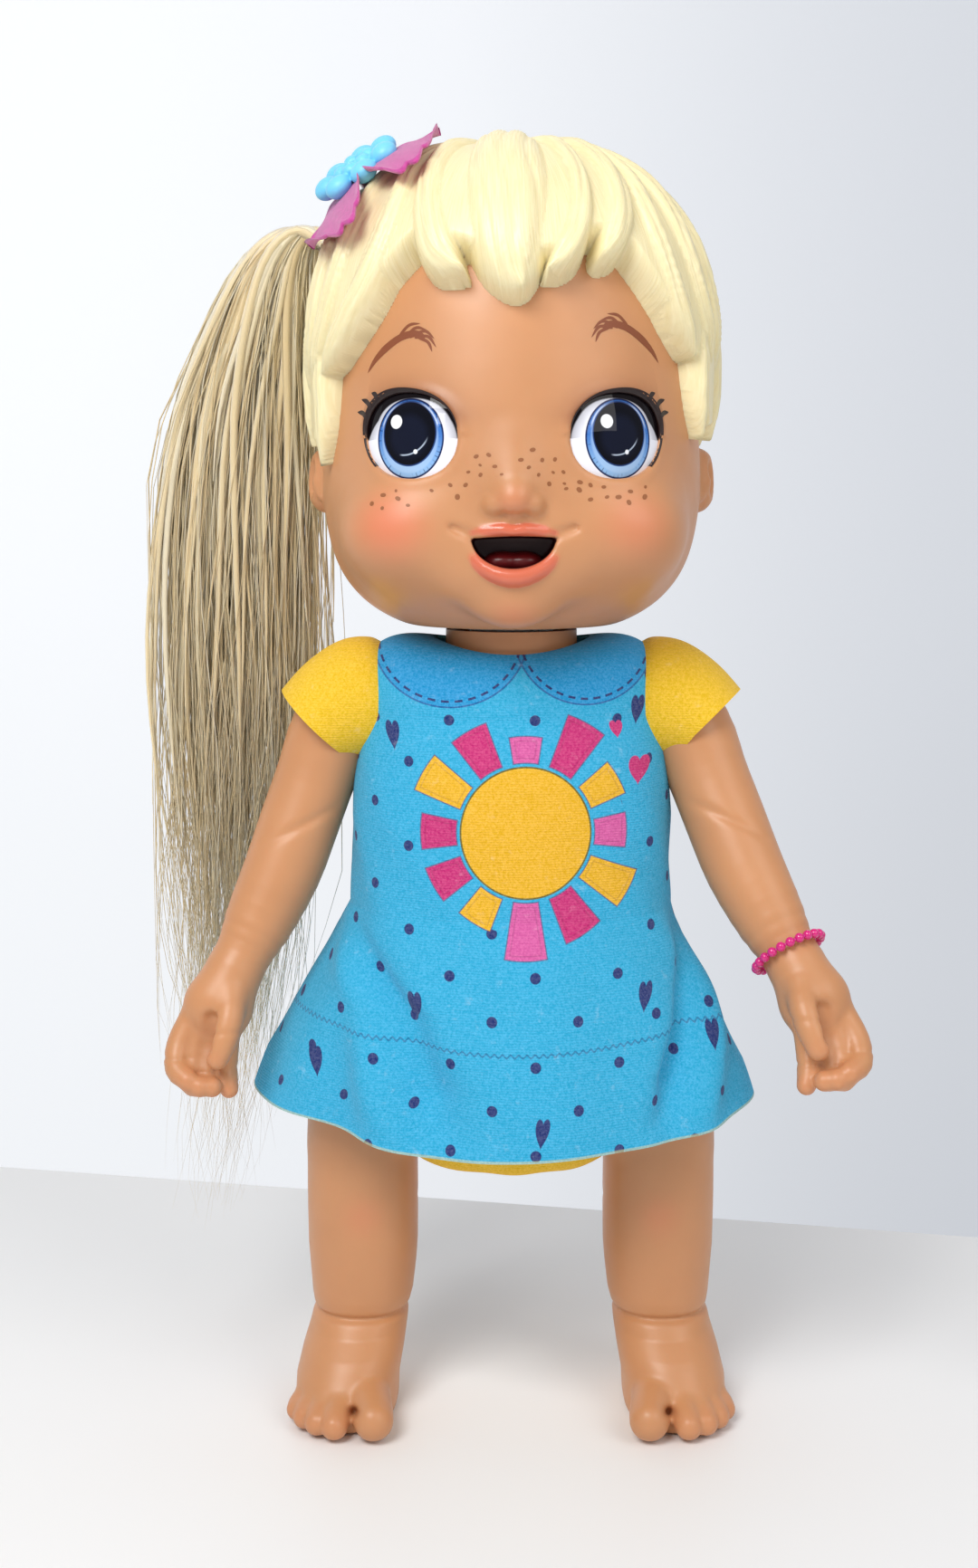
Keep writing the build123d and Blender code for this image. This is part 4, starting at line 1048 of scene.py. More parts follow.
def arm_field(p):
    d = tube(p, ARM, 26)
    d = smax(d, SHOULDER[0] + 0.2 - p[:, 0], 1.6)
    elbow = np.linalg.norm(p - np.array([66.4, -15.5, 191.5]), axis=1)
    d = d + 0.7 * np.exp(-((p[:, 2] - 190.5 + 0.5 * (p[:, 0] - 66)) / 1.7) ** 2) * np.clip((16
        - elbow) / 12, 0, 1)
    hand = np.flatnonzero(p[:, 2] < 156)
    q = p[hand]
    f = smin(d[hand], ellipsoid(q, (91.4, -22.4, 134.2), (10.2, 7.6, 10.6)), 5.0)
    for row in FINGERS:
        f = smin(f, tube(q, row, 10), 1.3)
    f = smin(f, tube(q, THUMB, 10), 1.8)
    f = smax(f, -capsule(q, (92.0, -31.2, 133.0), (93.0, -32.2, 126.0), 2.2, 3.2), 3.0)
    for row in FINGERS + [THUMB]:
        tip, before = np.array(row[-1]), np.array(row[-2])
        nail = tip[:3] + 0.55 * tip[3] * np.array([0.1, -0.75, -0.65])
        f = f - 0.16 * np.exp(-((np.linalg.norm(q - nail, axis=1) / 1.7) ** 6))
        joint_at = (before + np.array(row[1])) / 2
        f = f + 0.3 * np.exp(-((np.linalg.norm(q - joint_at[:3], axis=1) - joint_at[3]) ** 2) / 1.5) * np.exp(
            -((q[:, 2] - joint_at[2]) ** 2) / 0.5)
    d[hand] = f
    return d


def swung(verts, angle):
    """Points turned forward about the shoulder by an angle."""
    q = verts - [0, 0, SHOULDER[2]]
    c, sn = math.cos(angle), math.sin(angle)
    return np.stack([q[:, 0], q[:, 1] * c + q[:, 2] * sn, -q[:, 1] * sn + q[:, 2] * c + SHOULDER[2]], 1)


MIRROR = np.array([-1.0, 1, 1])
arm_verts, arm_faces = surface(arm_field, (38, -42, 104), (112, 20, 246), 0.85)
tips = np.zeros(len(arm_verts))
for row in FINGERS + [THUMB]:
    tips = np.maximum(tips, 0.35 * soft_spot(arm_verts, row[-1][:3], (7, 7, 7)))
tips = np.maximum(tips, 0.22 * soft_spot(arm_verts, (70, 6, 190), (14, 10, 14)))
for name, verts, faces in (
    ("left", swung(arm_verts, LEFT_ARM_SWING), arm_faces),
    ("right", arm_verts * MIRROR, arm_faces[:, ::-1]),
):
    arm = put("arm_" + name + "_skin", verts, faces, skin, values={"blush": tips})
    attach(arm, name + "_arm")
    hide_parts("arm_" + name)

# ---- legs and feet -----------------------------------------------------------------------------
LEG = np.array([
    (-4, 15.0, 28.0, 53.0, -10.5), (4, 16.6, 29.0, 53.0, -9.6), (11, 16.6, 27.0, 52.7, -8.0),
    (18, 16.4, 23.4, 51.2, -4.8), (25, 15.8, 19.4, 49.6, -1.2), (31, 15.4, 17.2, 48.6, 0),
    (36, 16.4, 18.2, 48.3, 0),
    (52, 17.9, 19.6, 47.9, 0), (68, 18.2, 20.2, 47.8, 0), (84, 18.0, 20.4, 47.8, 0),
    (104, 17.0, 20.3, 47.6, 0),
])
TOES = [
    [(45.4, -26, 8.6, 7.2), (43.6, -34.0, 7.4, 6.6), (43.0, -37.4, 6.8, 6.2)],
    [(53.4, -28, 8.0, 5.2), (54.8, -34.6, 6.2, 4.7), (55.2, -37.6, 5.0, 4.2)],
    [(57.8, -26, 7.6, 5.0), (60.2, -31.8, 5.8, 4.4), (60.8, -34.6, 4.8, 4.0)],
    [(61.2, -22, 7.2, 4.8), (64.2, -27.4, 5.4, 4.2), (65.0, -30.0, 4.5, 3.8)],
    [(63.6, -17, 7.0, 4.6), (66.8, -21.8, 5.2, 4.0), (67.8, -24.4, 4.3, 3.6)],
]


def leg_field(p):
    z = np.clip(p[:, 2], LEG[0, 0], LEG[-1, 0])
    hx, hy, cx, cy = (np.interp(z, LEG[:, 0], LEG[:, k]) for k in range(1, 5))
    trim = np.clip((20 - z) / 14, 0, 1) * 6.5 * np.clip((-p[:, 1] - 14) / 12, 0, 1)
    qx, qy = (p[:, 0] - cx) / hx, (p[:, 1] - cy) / (hy - trim * 0.6)
    d = ((np.abs(qx) ** 2.2 + np.abs(qy) ** 2.2) ** (1 / 2.2) - 1) * np.minimum(hx, hy)
    crease = 1.1 * np.exp(-(((p[:, 2] - 30.2 + 0.03 * p[:, 1]) / 1.1) ** 2))
    knee = 0.55 * np.exp(-(((p[:, 2] - 67.0 - 0.05 * (p[:, 0] - 48)) / 1.5) ** 2)) * np.clip(p[:, 1] / 10
        + 0.5, 0, 1)
    d = d + crease + knee
    sole = 0.4 - p[:, 2]
    disc = np.hypot(p[:, 1], p[:, 2] - HIP[2]) - 20.4
    disc = smax(disc, p[:, 0] - 61.5, 9)
    d = np.where(p[:, 2] > 60, smin(smax(d, p[:, 2] - HIP[2], 1), disc, 7), d)
    foot = np.flatnonzero(p[:, 2] < 24)
    q, f = p[foot], d[foot]
    for row in TOES:
        f = smin(f, tube(q, row, 8), 1.5)
    f = smax(f, -capsule(q, (49.2, -42, 12), (49.4, -31.5, 7), 2.2, 0.9), 2.0)
    for row in TOES:
        x, y, z, r = row[-1]
        f = f - 0.16 * np.exp(-((np.linalg.norm(q - [x + 0.2, y - 0.45 * r, z + 0.8 * r], axis=1) / (0.52
            * r)) ** 6))
    d[foot] = f
    d = smax(d, sole, 1.6)
    return smax(d, 30.15 - p[:, 0], 1.0)


leg_verts, leg_faces = surface(leg_field, (26, -48, -3), (74, 26, 128), 0.85)
glow = 0.3 * soft_spot(leg_verts, (47, -20, 66), (13, 10, 14))
for row in TOES:
    glow = np.maximum(glow, 0.35 * soft_spot(leg_verts, row[-1][:3], (8, 8, 8)))
for name, verts, faces in (("left", leg_verts, leg_faces), ("right", leg_verts * MIRROR, leg_faces[:, ::-1])):
    leg = put("leg_" + name + "_skin", verts, faces, skin, values={"blush": glow})
    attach(leg, name + "_leg")
    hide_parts("leg_" + name)

# ---- bracelet ----------------------------------------------------------------------------------
ring_a = np.cross(WRIST_ALONG, [0, 1.0, 0])
ring_a /= np.linalg.norm(ring_a)
ring_b = np.cross(WRIST_ALONG, ring_a)
BEADS, BEAD_RING = 22, 11.0


def sphere(centre, radius, rows=8, columns=12):
    lat = np.linspace(0, math.pi, rows + 1)[1:-1]
    lon = np.arange(columns) / columns * 2 * math.pi
    a, b = np.meshgrid(lat, lon, indexing="ij")
    verts = np.stack([np.sin(a) * np.cos(b), np.sin(a) * np.sin(b), np.cos(a)], -1).reshape(-1, 3)
    verts = np.vstack([verts, [[0, 0, 1], [0, 0, -1]]]) * radius + centre
    faces, n = [], (rows - 1) * columns
    for j in range(columns):
        k = (j + 1) % columns
        faces += [(n, j, k), (n + 1, (rows - 2) * columns + k, (rows - 2) * columns + j)]
        faces += [(i * columns + j, (i + 1) * columns + j, (i + 1) * columns + k, i * columns
            + k) for i in range(rows - 2)]
    return verts, faces


def ring_place(angle, radius=BEAD_RING):
    return WRIST + radius * (math.cos(angle) * ring_a + math.sin(angle) * ring_b)


parts = [sphere(ring_place(2 * math.pi * k / BEADS), 1.5) for k in range(BEADS)]
bead_plastic = vinyl("bead_magenta", srgb(214, 26, 126), rough=0.2, grain=0.0, scatter=0.1, coat=0.6)
beads = put("bracelet", *gathered(parts), bead_plastic)
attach(beads, "bracelet")
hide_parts("bracelet_beads")

# ---- hair clip ---------------------------------------------------------------------------------
CLIP_AT, CLIP_OUT = np.array([-43.2, -9.0, 384.0]), np.array([-0.54, -0.34, 0.77])
CLIP_OUT /= np.linalg.norm(CLIP_OUT)
CLIP_ALONG = np.array([0.83, 0, 0.55])
CLIP_ALONG -= CLIP_OUT * (CLIP_ALONG @ CLIP_OUT)
CLIP_ALONG /= np.linalg.norm(CLIP_ALONG)
CLIP_SIDE = np.cross(CLIP_OUT, CLIP_ALONG)


def felt(name, colour):
    n = Nodes(name)
    fibre = n.noise(900.0, 6.0, roughness=0.75)
    dark, light = tuple(c * 0.7 for c in colour), tuple(min(1.0, c * 1.25 + 0.01) for c in colour)
    n.set(Base_Color=n.ramp(fibre, [(0.3, dark), (0.7, light)]), Roughness=0.95)
    n.shader.inputs["Sheen Weight"].default_value = 0.6
    n.shader.inputs["Specular IOR Level"].default_value = 0.15
    n.bump(fibre, 0.6, 0.0005)
    return n.material


def petal_half(a, side):
    """Half width of the leaf-shaped petals at a distance along the clip, with a scalloped edge."""
    t = np.clip(np.abs(a) / 33.0, 0, 1)
    leaf = 13.5 * np.sin(math.pi * np.clip(t, 0.0, 1) ** 0.9) ** 0.75 + 2.6 * (1 - t)
    scallop = 1.5 * np.abs(np.sin(a * math.pi / 7.5 + 0.6)) * np.sin(math.pi * t)
    return leaf + scallop - 1.0


along_steps, side_steps = np.linspace(-33, 33, 111), np.linspace(-1, 1, 25)
a, b = np.meshgrid(along_steps, side_steps, indexing="ij")
a, b = a.ravel(), b.ravel()
spread = b * petal_half(a, b) * np.where(b < 0, 2.6, 0.75)
flat = CLIP_AT + a[:, None] * CLIP_ALONG + spread[:, None] * CLIP_SIDE + 20 * CLIP_OUT
ruffle = 0.5 * np.sin(a / 2.6 + 1.0) * np.abs(b) ** 2 + np.where(b < 0, 2.2, 0.8) * np.abs(b) ** 3
top = []
for lift in (3.4, 2.3):
    way = flat - HEAD_MIDDLE
    way /= np.linalg.norm(way, axis=1)[:, None]
    top.append(HEAD_MIDDLE + (out_from_middle(way, cap_shape) + lift + ruffle)[:, None] * way)
rows, columns = len(along_steps), len(side_steps)
grid_index = np.arange(rows * columns).reshape(rows, columns)
quads = np.stack([grid_index[:-1, :-1], grid_index[1:, :-1], grid_index[1:, 1:], grid_index[:-1, 1:]],
    -1).reshape(-1, 4)
rim_loop = np.concatenate([grid_index[:, 0], grid_index[-1, 1:], grid_index[-2::-1, -1],
    grid_index[0, -2:0:-1]])
under = quads[:, ::-1] + rows * columns
walls = [(rim_loop[k], rim_loop[(k + 1) % len(rim_loop)], rim_loop[(k + 1) % len(rim_loop)] + rows * columns,
          rim_loop[k] + rows * columns) for k in range(len(rim_loop))]
petals = put("clip_felt", np.vstack(top), [tuple(q) for q in quads] + [tuple(q) for q in under]
             + [w[::-1] for w in walls], felt("petal_magenta", srgb(204, 72, 158)))
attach(petals, "hair_clip")
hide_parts("clip_petals")


def flower_field(p):
    q = p - (CLIP_AT + 3.4 * CLIP_OUT)
    u, v, w = q @ CLIP_ALONG, q @ CLIP_SIDE, q @ CLIP_OUT
    local = np.stack([u, v, w], 1)
    d = ellipsoid(local, (0, 0, 1.6), (8.0, 8.0, 1.9))
    for k in range(7):
        a = 2 * math.pi * k / 7 + 0.3
        d = smin(d, ellipsoid(local, (10.4 * math.cos(a), 10.4 * math.sin(a), 2.3), (4.3, 4.3, 3.2)), 1.0)
        d = smin(d, ellipsoid(local, (5.0 * math.cos(a + 0.4), 5.0 * math.sin(a + 0.4), 4.0),
            (2.5, 2.5, 1.8)), 0.8)
    return d


verts, faces = surface(flower_field, CLIP_AT - 17, CLIP_AT + 19, 0.5)
flower = put("clip_flower_knobs", verts, faces, vinyl("flower_blue", srgb(120, 208, 244), rough=0.4))
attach(flower, "hair_clip")
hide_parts("clip_flower")

# ---- ponytail ----------------------------------------------------------------------------------
TAIL = np.array([
    (-58, 24, 371, 5, 6), (-66, 27, 375, 8, 8), (-74, 29.5, 367, 13, 11), (-80, 31, 347, 20, 13),
    (-86, 32, 316, 28, 13), (-89, 32, 275, 33, 12.5), (-90, 32, 230, 35, 12), (-91, 31, 190, 33, 11),
    (-92, 30, 155, 28, 10), (-94, 29, 118, 22, 8), (-96, 28, 82, 15, 6), (-98, 27, 48, 10, 4),
], float)
CLUMPS = 46
clump_at = np.stack([np.sqrt(rng.uniform(0.02, 1, CLUMPS)), rng.uniform(0, 2 * math.pi, CLUMPS)], 1)
clump_at = np.stack([clump_at[:, 0] * np.cos(clump_at[:, 1]), clump_at[:, 0] * np.sin(clump_at[:, 1])], 1)


def strands(count, rings, sides, thick, ends, gather, frizz):
    """Tapered tubes that follow the tail in clumps, as vertices, faces, and a shade for each vertex."""
    clump = rng.integers(0, CLUMPS, count)
    own = np.sqrt(rng.uniform(0, 1, count))[:, None]
    turn = rng.uniform(0, 2 * math.pi, count)
    place = np.hstack([own * np.cos(turn)[:, None], own * np.sin(turn)[:, None]])
    last = rng.uniform(*ends, count) ** 0.75
    t = np.linspace(0, 1, rings)[None, :] * last[:, None]
    path = smooth_path(TAIL, 200)
    at = t * 199
    low = np.clip(at.astype(int), 0, 198)
    f = (at - low)[..., None]
    mid = path[low] * (1 - f) + path[low + 1] * f
    pull = gather * np.clip(t * 1.6, 0, 1)[..., None]
    where = place[:, None, :] * (1 - pull) + clump_at[clump][:, None, :] * pull
    phase, beat = rng.uniform(0, 6.28, (count, 1)), rng.uniform(5, 13, (count, 1))
    clump_phase, clump_beat = (clump * 2.4 % 6.28)[:, None], (4 + clump * 1.7 % 5)[:, None]
    wave = frizz * t * (np.sin(beat * t + phase) + 0.5 * np.sin(2.7 * beat * t + 3 * phase))
    wave2 = frizz * t * np.cos(beat * 0.8 * t + 2 * phase)
    big = 3.0 * t * np.sin(clump_beat * t + clump_phase)
    x = mid[..., 0] + where[..., 0] * mid[..., 3] + wave + big
    y = mid[..., 1] + where[..., 1] * mid[..., 4] + 0.7 * wave2 + 0.25 * big
    z = mid[..., 2] + 0.4 * wave
    x = np.maximum(x, -118.6 + 0.4 * np.sin(phase * 9))
    centre = np.stack([x, y, z], -1)
    along = np.gradient(centre, axis=1)
    along /= np.linalg.norm(along, axis=2)[..., None]
    right = np.cross(along, [0, 1.0, 0])
    right /= np.maximum(np.linalg.norm(right, axis=2), 1e-6)[..., None]
    front = np.cross(right, along)
    width = thick * rng.uniform(0.7, 1.25, (count, 1)) * (1 - np.linspace(0, 1, rings)[None, :] ** 3 * 0.92)
    width = width[..., None] * np.ones(3)
    verts = []
    for k in range(sides):
        a = 2 * math.pi * k / sides
        verts.append(centre + width * (math.cos(a) * right + 0.8 * math.sin(a) * front))
    verts = np.stack(verts, 2).reshape(-1, 3)
    index = np.arange(count * rings * sides).reshape(count, rings, sides)
    nxt = np.roll(index, -1, 2)
    quads = np.stack([index[:, :-1], nxt[:, :-1], nxt[:, 1:], index[:, 1:]], -1).reshape(-1, 4)
    shade = np.repeat(rng.uniform(0, 1, count), rings * sides)
    around = np.tile(np.arange(sides) / sides, count * rings) * 8 + np.repeat(np.arange(count), rings
        * sides) * 1.7
    caps = [tuple(index[k, 0]) for k in range(count)] + [tuple(index[k, -1, ::-1]) for k in range(count)]
    return verts, quads, caps, shade, around


def fibre_material():
    n = Nodes("hair_fibre")
    tone = n.add("Attribute", attribute_name="shade").outputs["Fac"]
    colour = n.ramp(tone, [(0.0, srgb(246, 222, 170)), (0.4, srgb(252, 236, 194)),
        (0.8, srgb(255, 246, 214)), (1.0, srgb(255, 251, 232))])
    comb_node = n.add("Attribute", attribute_name="comb").outputs["Fac"]
    run_node = n.math("MULTIPLY", n.add("SeparateXYZ", {"Vector": n.object_place()}).outputs["Z"], 30.0)
    place = n.add("CombineXYZ", {"X": n.math("MULTIPLY", comb_node, 3.0), "Y": run_node}).outputs[0]
    lines = n.noise(1.0, 3.0, place)
    n.set(Base_Color=n.mix(n.math("MULTIPLY", lines, 0.4), colour, (*srgb(244, 214, 160), 1.0)),
        Roughness=n.patchy(0.38))
    n.shader.inputs["Sheen Weight"].default_value = 0.5
    n.shader.inputs["Transmission Weight"].default_value = 0.3
    n.bump(lines, 0.4, 0.0004)
    return n.material


sets = [
    strands(210, 24, 6, 1.35, (0.25, 0.62), 0.4, 3.4),
    strands(1180, 18, 3, 0.3, (0.3, 0.84), 0.36, 5.6),
    strands(200, 24, 3, 0.2, (0.75, 1.0), 0.2, 7.5),
]
verts, faces, shade, around, start = [], [], [], [], 0
for v, q, caps, tone, turn in sets:
    verts.append(v)
    faces += [tuple(r) for r in (q + start).tolist()] + [tuple(int(i) + start for i in c) for c in caps]
    shade.append(tone)
    around.append(turn)
    start += len(v)
tail = put("ponytail_hair", np.vstack(verts), faces, fibre_material(),
           values={"shade": np.concatenate(shade), "comb": np.concatenate(around)})
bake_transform(tail)
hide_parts("ponytail")


# ---- dress -------------------------------------------------------------------------------------
WAIST_Z, CLOTH = 165.0, 1.1
BODY_LINE = np.array([
    (92, 80.5, 56.5), (98, 79.0, 55), (112, 75, 52.8), (130, 67.5, 49), (148, 58.5, 44), (158, 53.5, 41.2),
    (165, 51, 39.4), (178, 50.4, 38.2), (193, 50.4, 37.0), (205, 49.6, 35.4), (215, 48.6, 33.2),
    (225, 47.4, 30.6),
])
SHOULDER_FROM = 225.0


def dress_place(turn, height):
    """A point of the dress. turn goes round from the middle of the front; height is in millimetres up to 225,
    and from there to 265 it runs over the shoulder to the neckline."""
    z = np.minimum(height, SHOULDER_FROM)
    hx, hy = np.interp(z, BODY_LINE[:, 0], BODY_LINE[:, 1]), np.interp(z, BODY_LINE[:, 0], BODY_LINE[:, 2])
    sn, cs = np.sin(turn), -np.cos(turn)
    power = 2 / 2.25
    x = hx * np.sign(sn) * np.abs(sn) ** power
    y = hy * np.sign(cs) * np.abs(cs) ** power
    degrees = np.degrees(np.arctan2(np.sin(turn), np.cos(turn)))
    flare = np.clip((WAIST_Z - z) / 68, 0, 1.1)
    wave = 2.4 * np.sin(3 * turn + 0.7) + 2.0 * np.sin(5 * turn + 2.1) + 1.0 * np.sin(11 * turn + 0.5)
    for fold_z, fold_degrees, depth, wide in (
        ([104, 118, 137, 161], [-16, -20, -29, -64], 6.0, 8.0),
        ([104, 118, 135, 158], [37, 43, 56, 74], 6.6, 6.5),
        ([98, 120, 160], [150, 152, 140], 4.0, 9.0),
        ([98, 120, 160], [-146, -150, -138], 4.0, 9.0),
    ):
        at = np.interp(z, fold_z, fold_degrees)
        strong = np.clip((z - fold_z[0] + 10) / 22, 0.25, 1) * np.clip((fold_z[-1] + 9 - z) / 14, 0, 1)
        off = (degrees - at) / wide
        outside = off * np.sign(at)
        wave = wave - depth * 1.5 * strong * (np.exp(-(off**2)) - 0.55 * np.exp(-((outside - 1.9) ** 2)))
    crease = 0.5 * np.sin(9 * turn + z / 9.0) * np.sin(z / 13.0 + 2 * turn) * np.clip((222 - z) / 30, 0, 1)
    crease += 0.8 * np.exp(-(((z - 158) / 6.0) ** 2)) * np.sin(7 * turn
        + 1.0) * np.clip(np.abs(degrees) / 50 - 0.5, 0, 1)
    push = wave * flare**0.8 * np.where(flare > 0, 1, 0) + crease
    size = np.hypot(x, y)
    x, y = x * (1 + push / size), y * (1 + push / size)
    t = np.clip((height - SHOULDER_FROM) / 40.0, 0, 1)
    side = np.abs(np.sin(turn)) ** 2
    neck_x, neck_y = 24.6 * sn, 22.6 * cs - 0.4
    neck_z = 244.4 + 4.6 * side + 2.0 * (cs > 0) * np.abs(cs) ** 2
    over_x, over_y, over_z = x * 1.06, y * (1.0 - 0.05 * side), 239.0 + 14.5 * side**0.8
    a, b, c = (1 - t) ** 2, 2 * t * (1 - t), t**2
    x = a * x + b * over_x + c * neck_x
    y = a * y + b * over_y + c * neck_y
    z_up = a * SHOULDER_FROM + b * over_z + c * neck_z
    hem = 96.8 + 9.0 * np.abs(np.sin(turn)) ** 2.2 + 0.8 * np.sin(6 * turn)
    low = np.clip((WAIST_Z - z) / (WAIST_Z - 98.0), 0, 1)
    z = np.where(height > SHOULDER_FROM, z_up, z + (hem - 98.0) * low**2)
    return np.stack([x, y, z], 1)


ARMHOLE_Z, ARMHOLE_RADIUS, ARMHOLE_FROM_X = 229.0, 17.4, 34
OPENING_HALF_X, OPENING_Z, OPENING_HALF_Z = 27.5, 179.5, 43.0
FAR_FROM_HOLE = 9.0


def armhole(p):
    """Distance outside the armholes; positive is cloth that stays."""
    edge = np.hypot(p[:, 1], p[:, 2] - ARMHOLE_Z) - ARMHOLE_RADIUS
    return np.where(np.abs(p[:, 0]) > ARMHOLE_FROM_X, edge, FAR_FROM_HOLE)


def back_opening(p):
    near_back = p[:, 1] > 0
    across, up = np.abs(p[:, 0] / OPENING_HALF_X), np.abs((p[:, 2] - OPENING_Z) / OPENING_HALF_Z)
    shape = (across**6 + up**6) ** (1 / 6)
    return np.where(near_back, (shape - 1) * OPENING_HALF_X, FAR_FROM_HOLE)


def trimmed(place, turns, heights, closed, holes):
    """A grid of quads on a surface, with holes whose edges are moved onto the holes' outlines."""
    a, b = np.meshgrid(turns, heights, indexing="ij")
    a, b = a.ravel(), b.ravel()
    index = np.arange(len(a)).reshape(len(turns), len(heights))
    ahead = np.roll(index, -1, 0) if closed else index[1:]
    here = index if closed else index[:-1]
    quads = np.stack([here[:, :-1], ahead[:, :-1], ahead[:, 1:], here[:, 1:]], -1).reshape(-1, 4)
    for hole in holes:
        value = hole(place(a, b))
        quads = quads[(value[quads] > 0).sum(1) >= 3]
        touched = np.zeros(len(a), bool)
        touched[quads] = True
        move = touched & ((value < 0) | (np.abs(value) < 0.55))
        for _ in range(4):
            u, v = a[move], b[move]
            g = hole(place(u, v))
            gu = (hole(place(u + 1e-3, v)) - g) / 1e-3
            gv = (hole(place(u, v + 0.05)) - g) / 0.05
            size = gu**2 / 2500 + gv**2 + 1e-9
            a[move] = u - np.clip(g / size * gu / 2500, -0.03, 0.03)
            b[move] = v - np.clip(g / size * gv, -1.2, 1.2)
    used = np.unique(quads)
    number = np.full(len(a), -1)
    number[used] = np.arange(len(used))
    return a[used], b[used], number[quads]


def thick(verts, quads, amount):
    """The quads with an inside face amount below and closed edges.

    The first half of the vertices are outside.
    """
    normal = np.zeros_like(verts)
    face = np.cross(verts[quads[:, 2]] - verts[quads[:, 0]], verts[quads[:, 3]] - verts[quads[:, 1]])
    for k in range(4):
        np.add.at(normal, quads[:, k], face)
    normal /= np.maximum(np.linalg.norm(normal, axis=1), 1e-9)[:, None]
    n = len(verts)
    edges = np.vstack([quads[:, [k, (k + 1) % 4]] for k in range(4)])
    key = np.sort(edges, 1) @ np.array([n, 1])
    _, first, count = np.unique(key, return_index=True, return_counts=True)
    rim = edges[first[count == 1]]
    walls = np.stack([rim[:, 1], rim[:, 0], rim[:, 0] + n, rim[:, 1] + n], 1)
    return np.vstack([verts, verts - amount * normal]), np.vstack([quads, quads[:, ::-1] + n, walls])


DRESS_BLUE, COLLAR_BLUE, NAVY = srgb(34, 178, 226), srgb(4, 158, 222), srgb(16, 44, 116)
SUN_YELLOW, RAY_MAGENTA, RAY_PINK = srgb(242, 186, 16), srgb(208, 36, 122), srgb(222, 92, 168)
RAYS = [
    (RAY_PINK, 28.5), (RAY_MAGENTA, 37.0), (SUN_YELLOW, 32.0), (RAY_PINK, 30.5), (SUN_YELLOW, 36.0),
    (RAY_MAGENTA, 35.0), (RAY_PINK, 37.5), (SUN_YELLOW, 31.0), (RAY_MAGENTA, 32.0), (RAY_MAGENTA, 31.5),
    (SUN_YELLOW, 35.5), (RAY_MAGENTA, 34.5),
]
SUN_AT = (4.0, 192.0)
NAVY_HEARTS = [(-36, 219), (38, 226.5), (-29, 139), (40, 141), (-60, 119), (8.5, 104.5), (62, 127)]


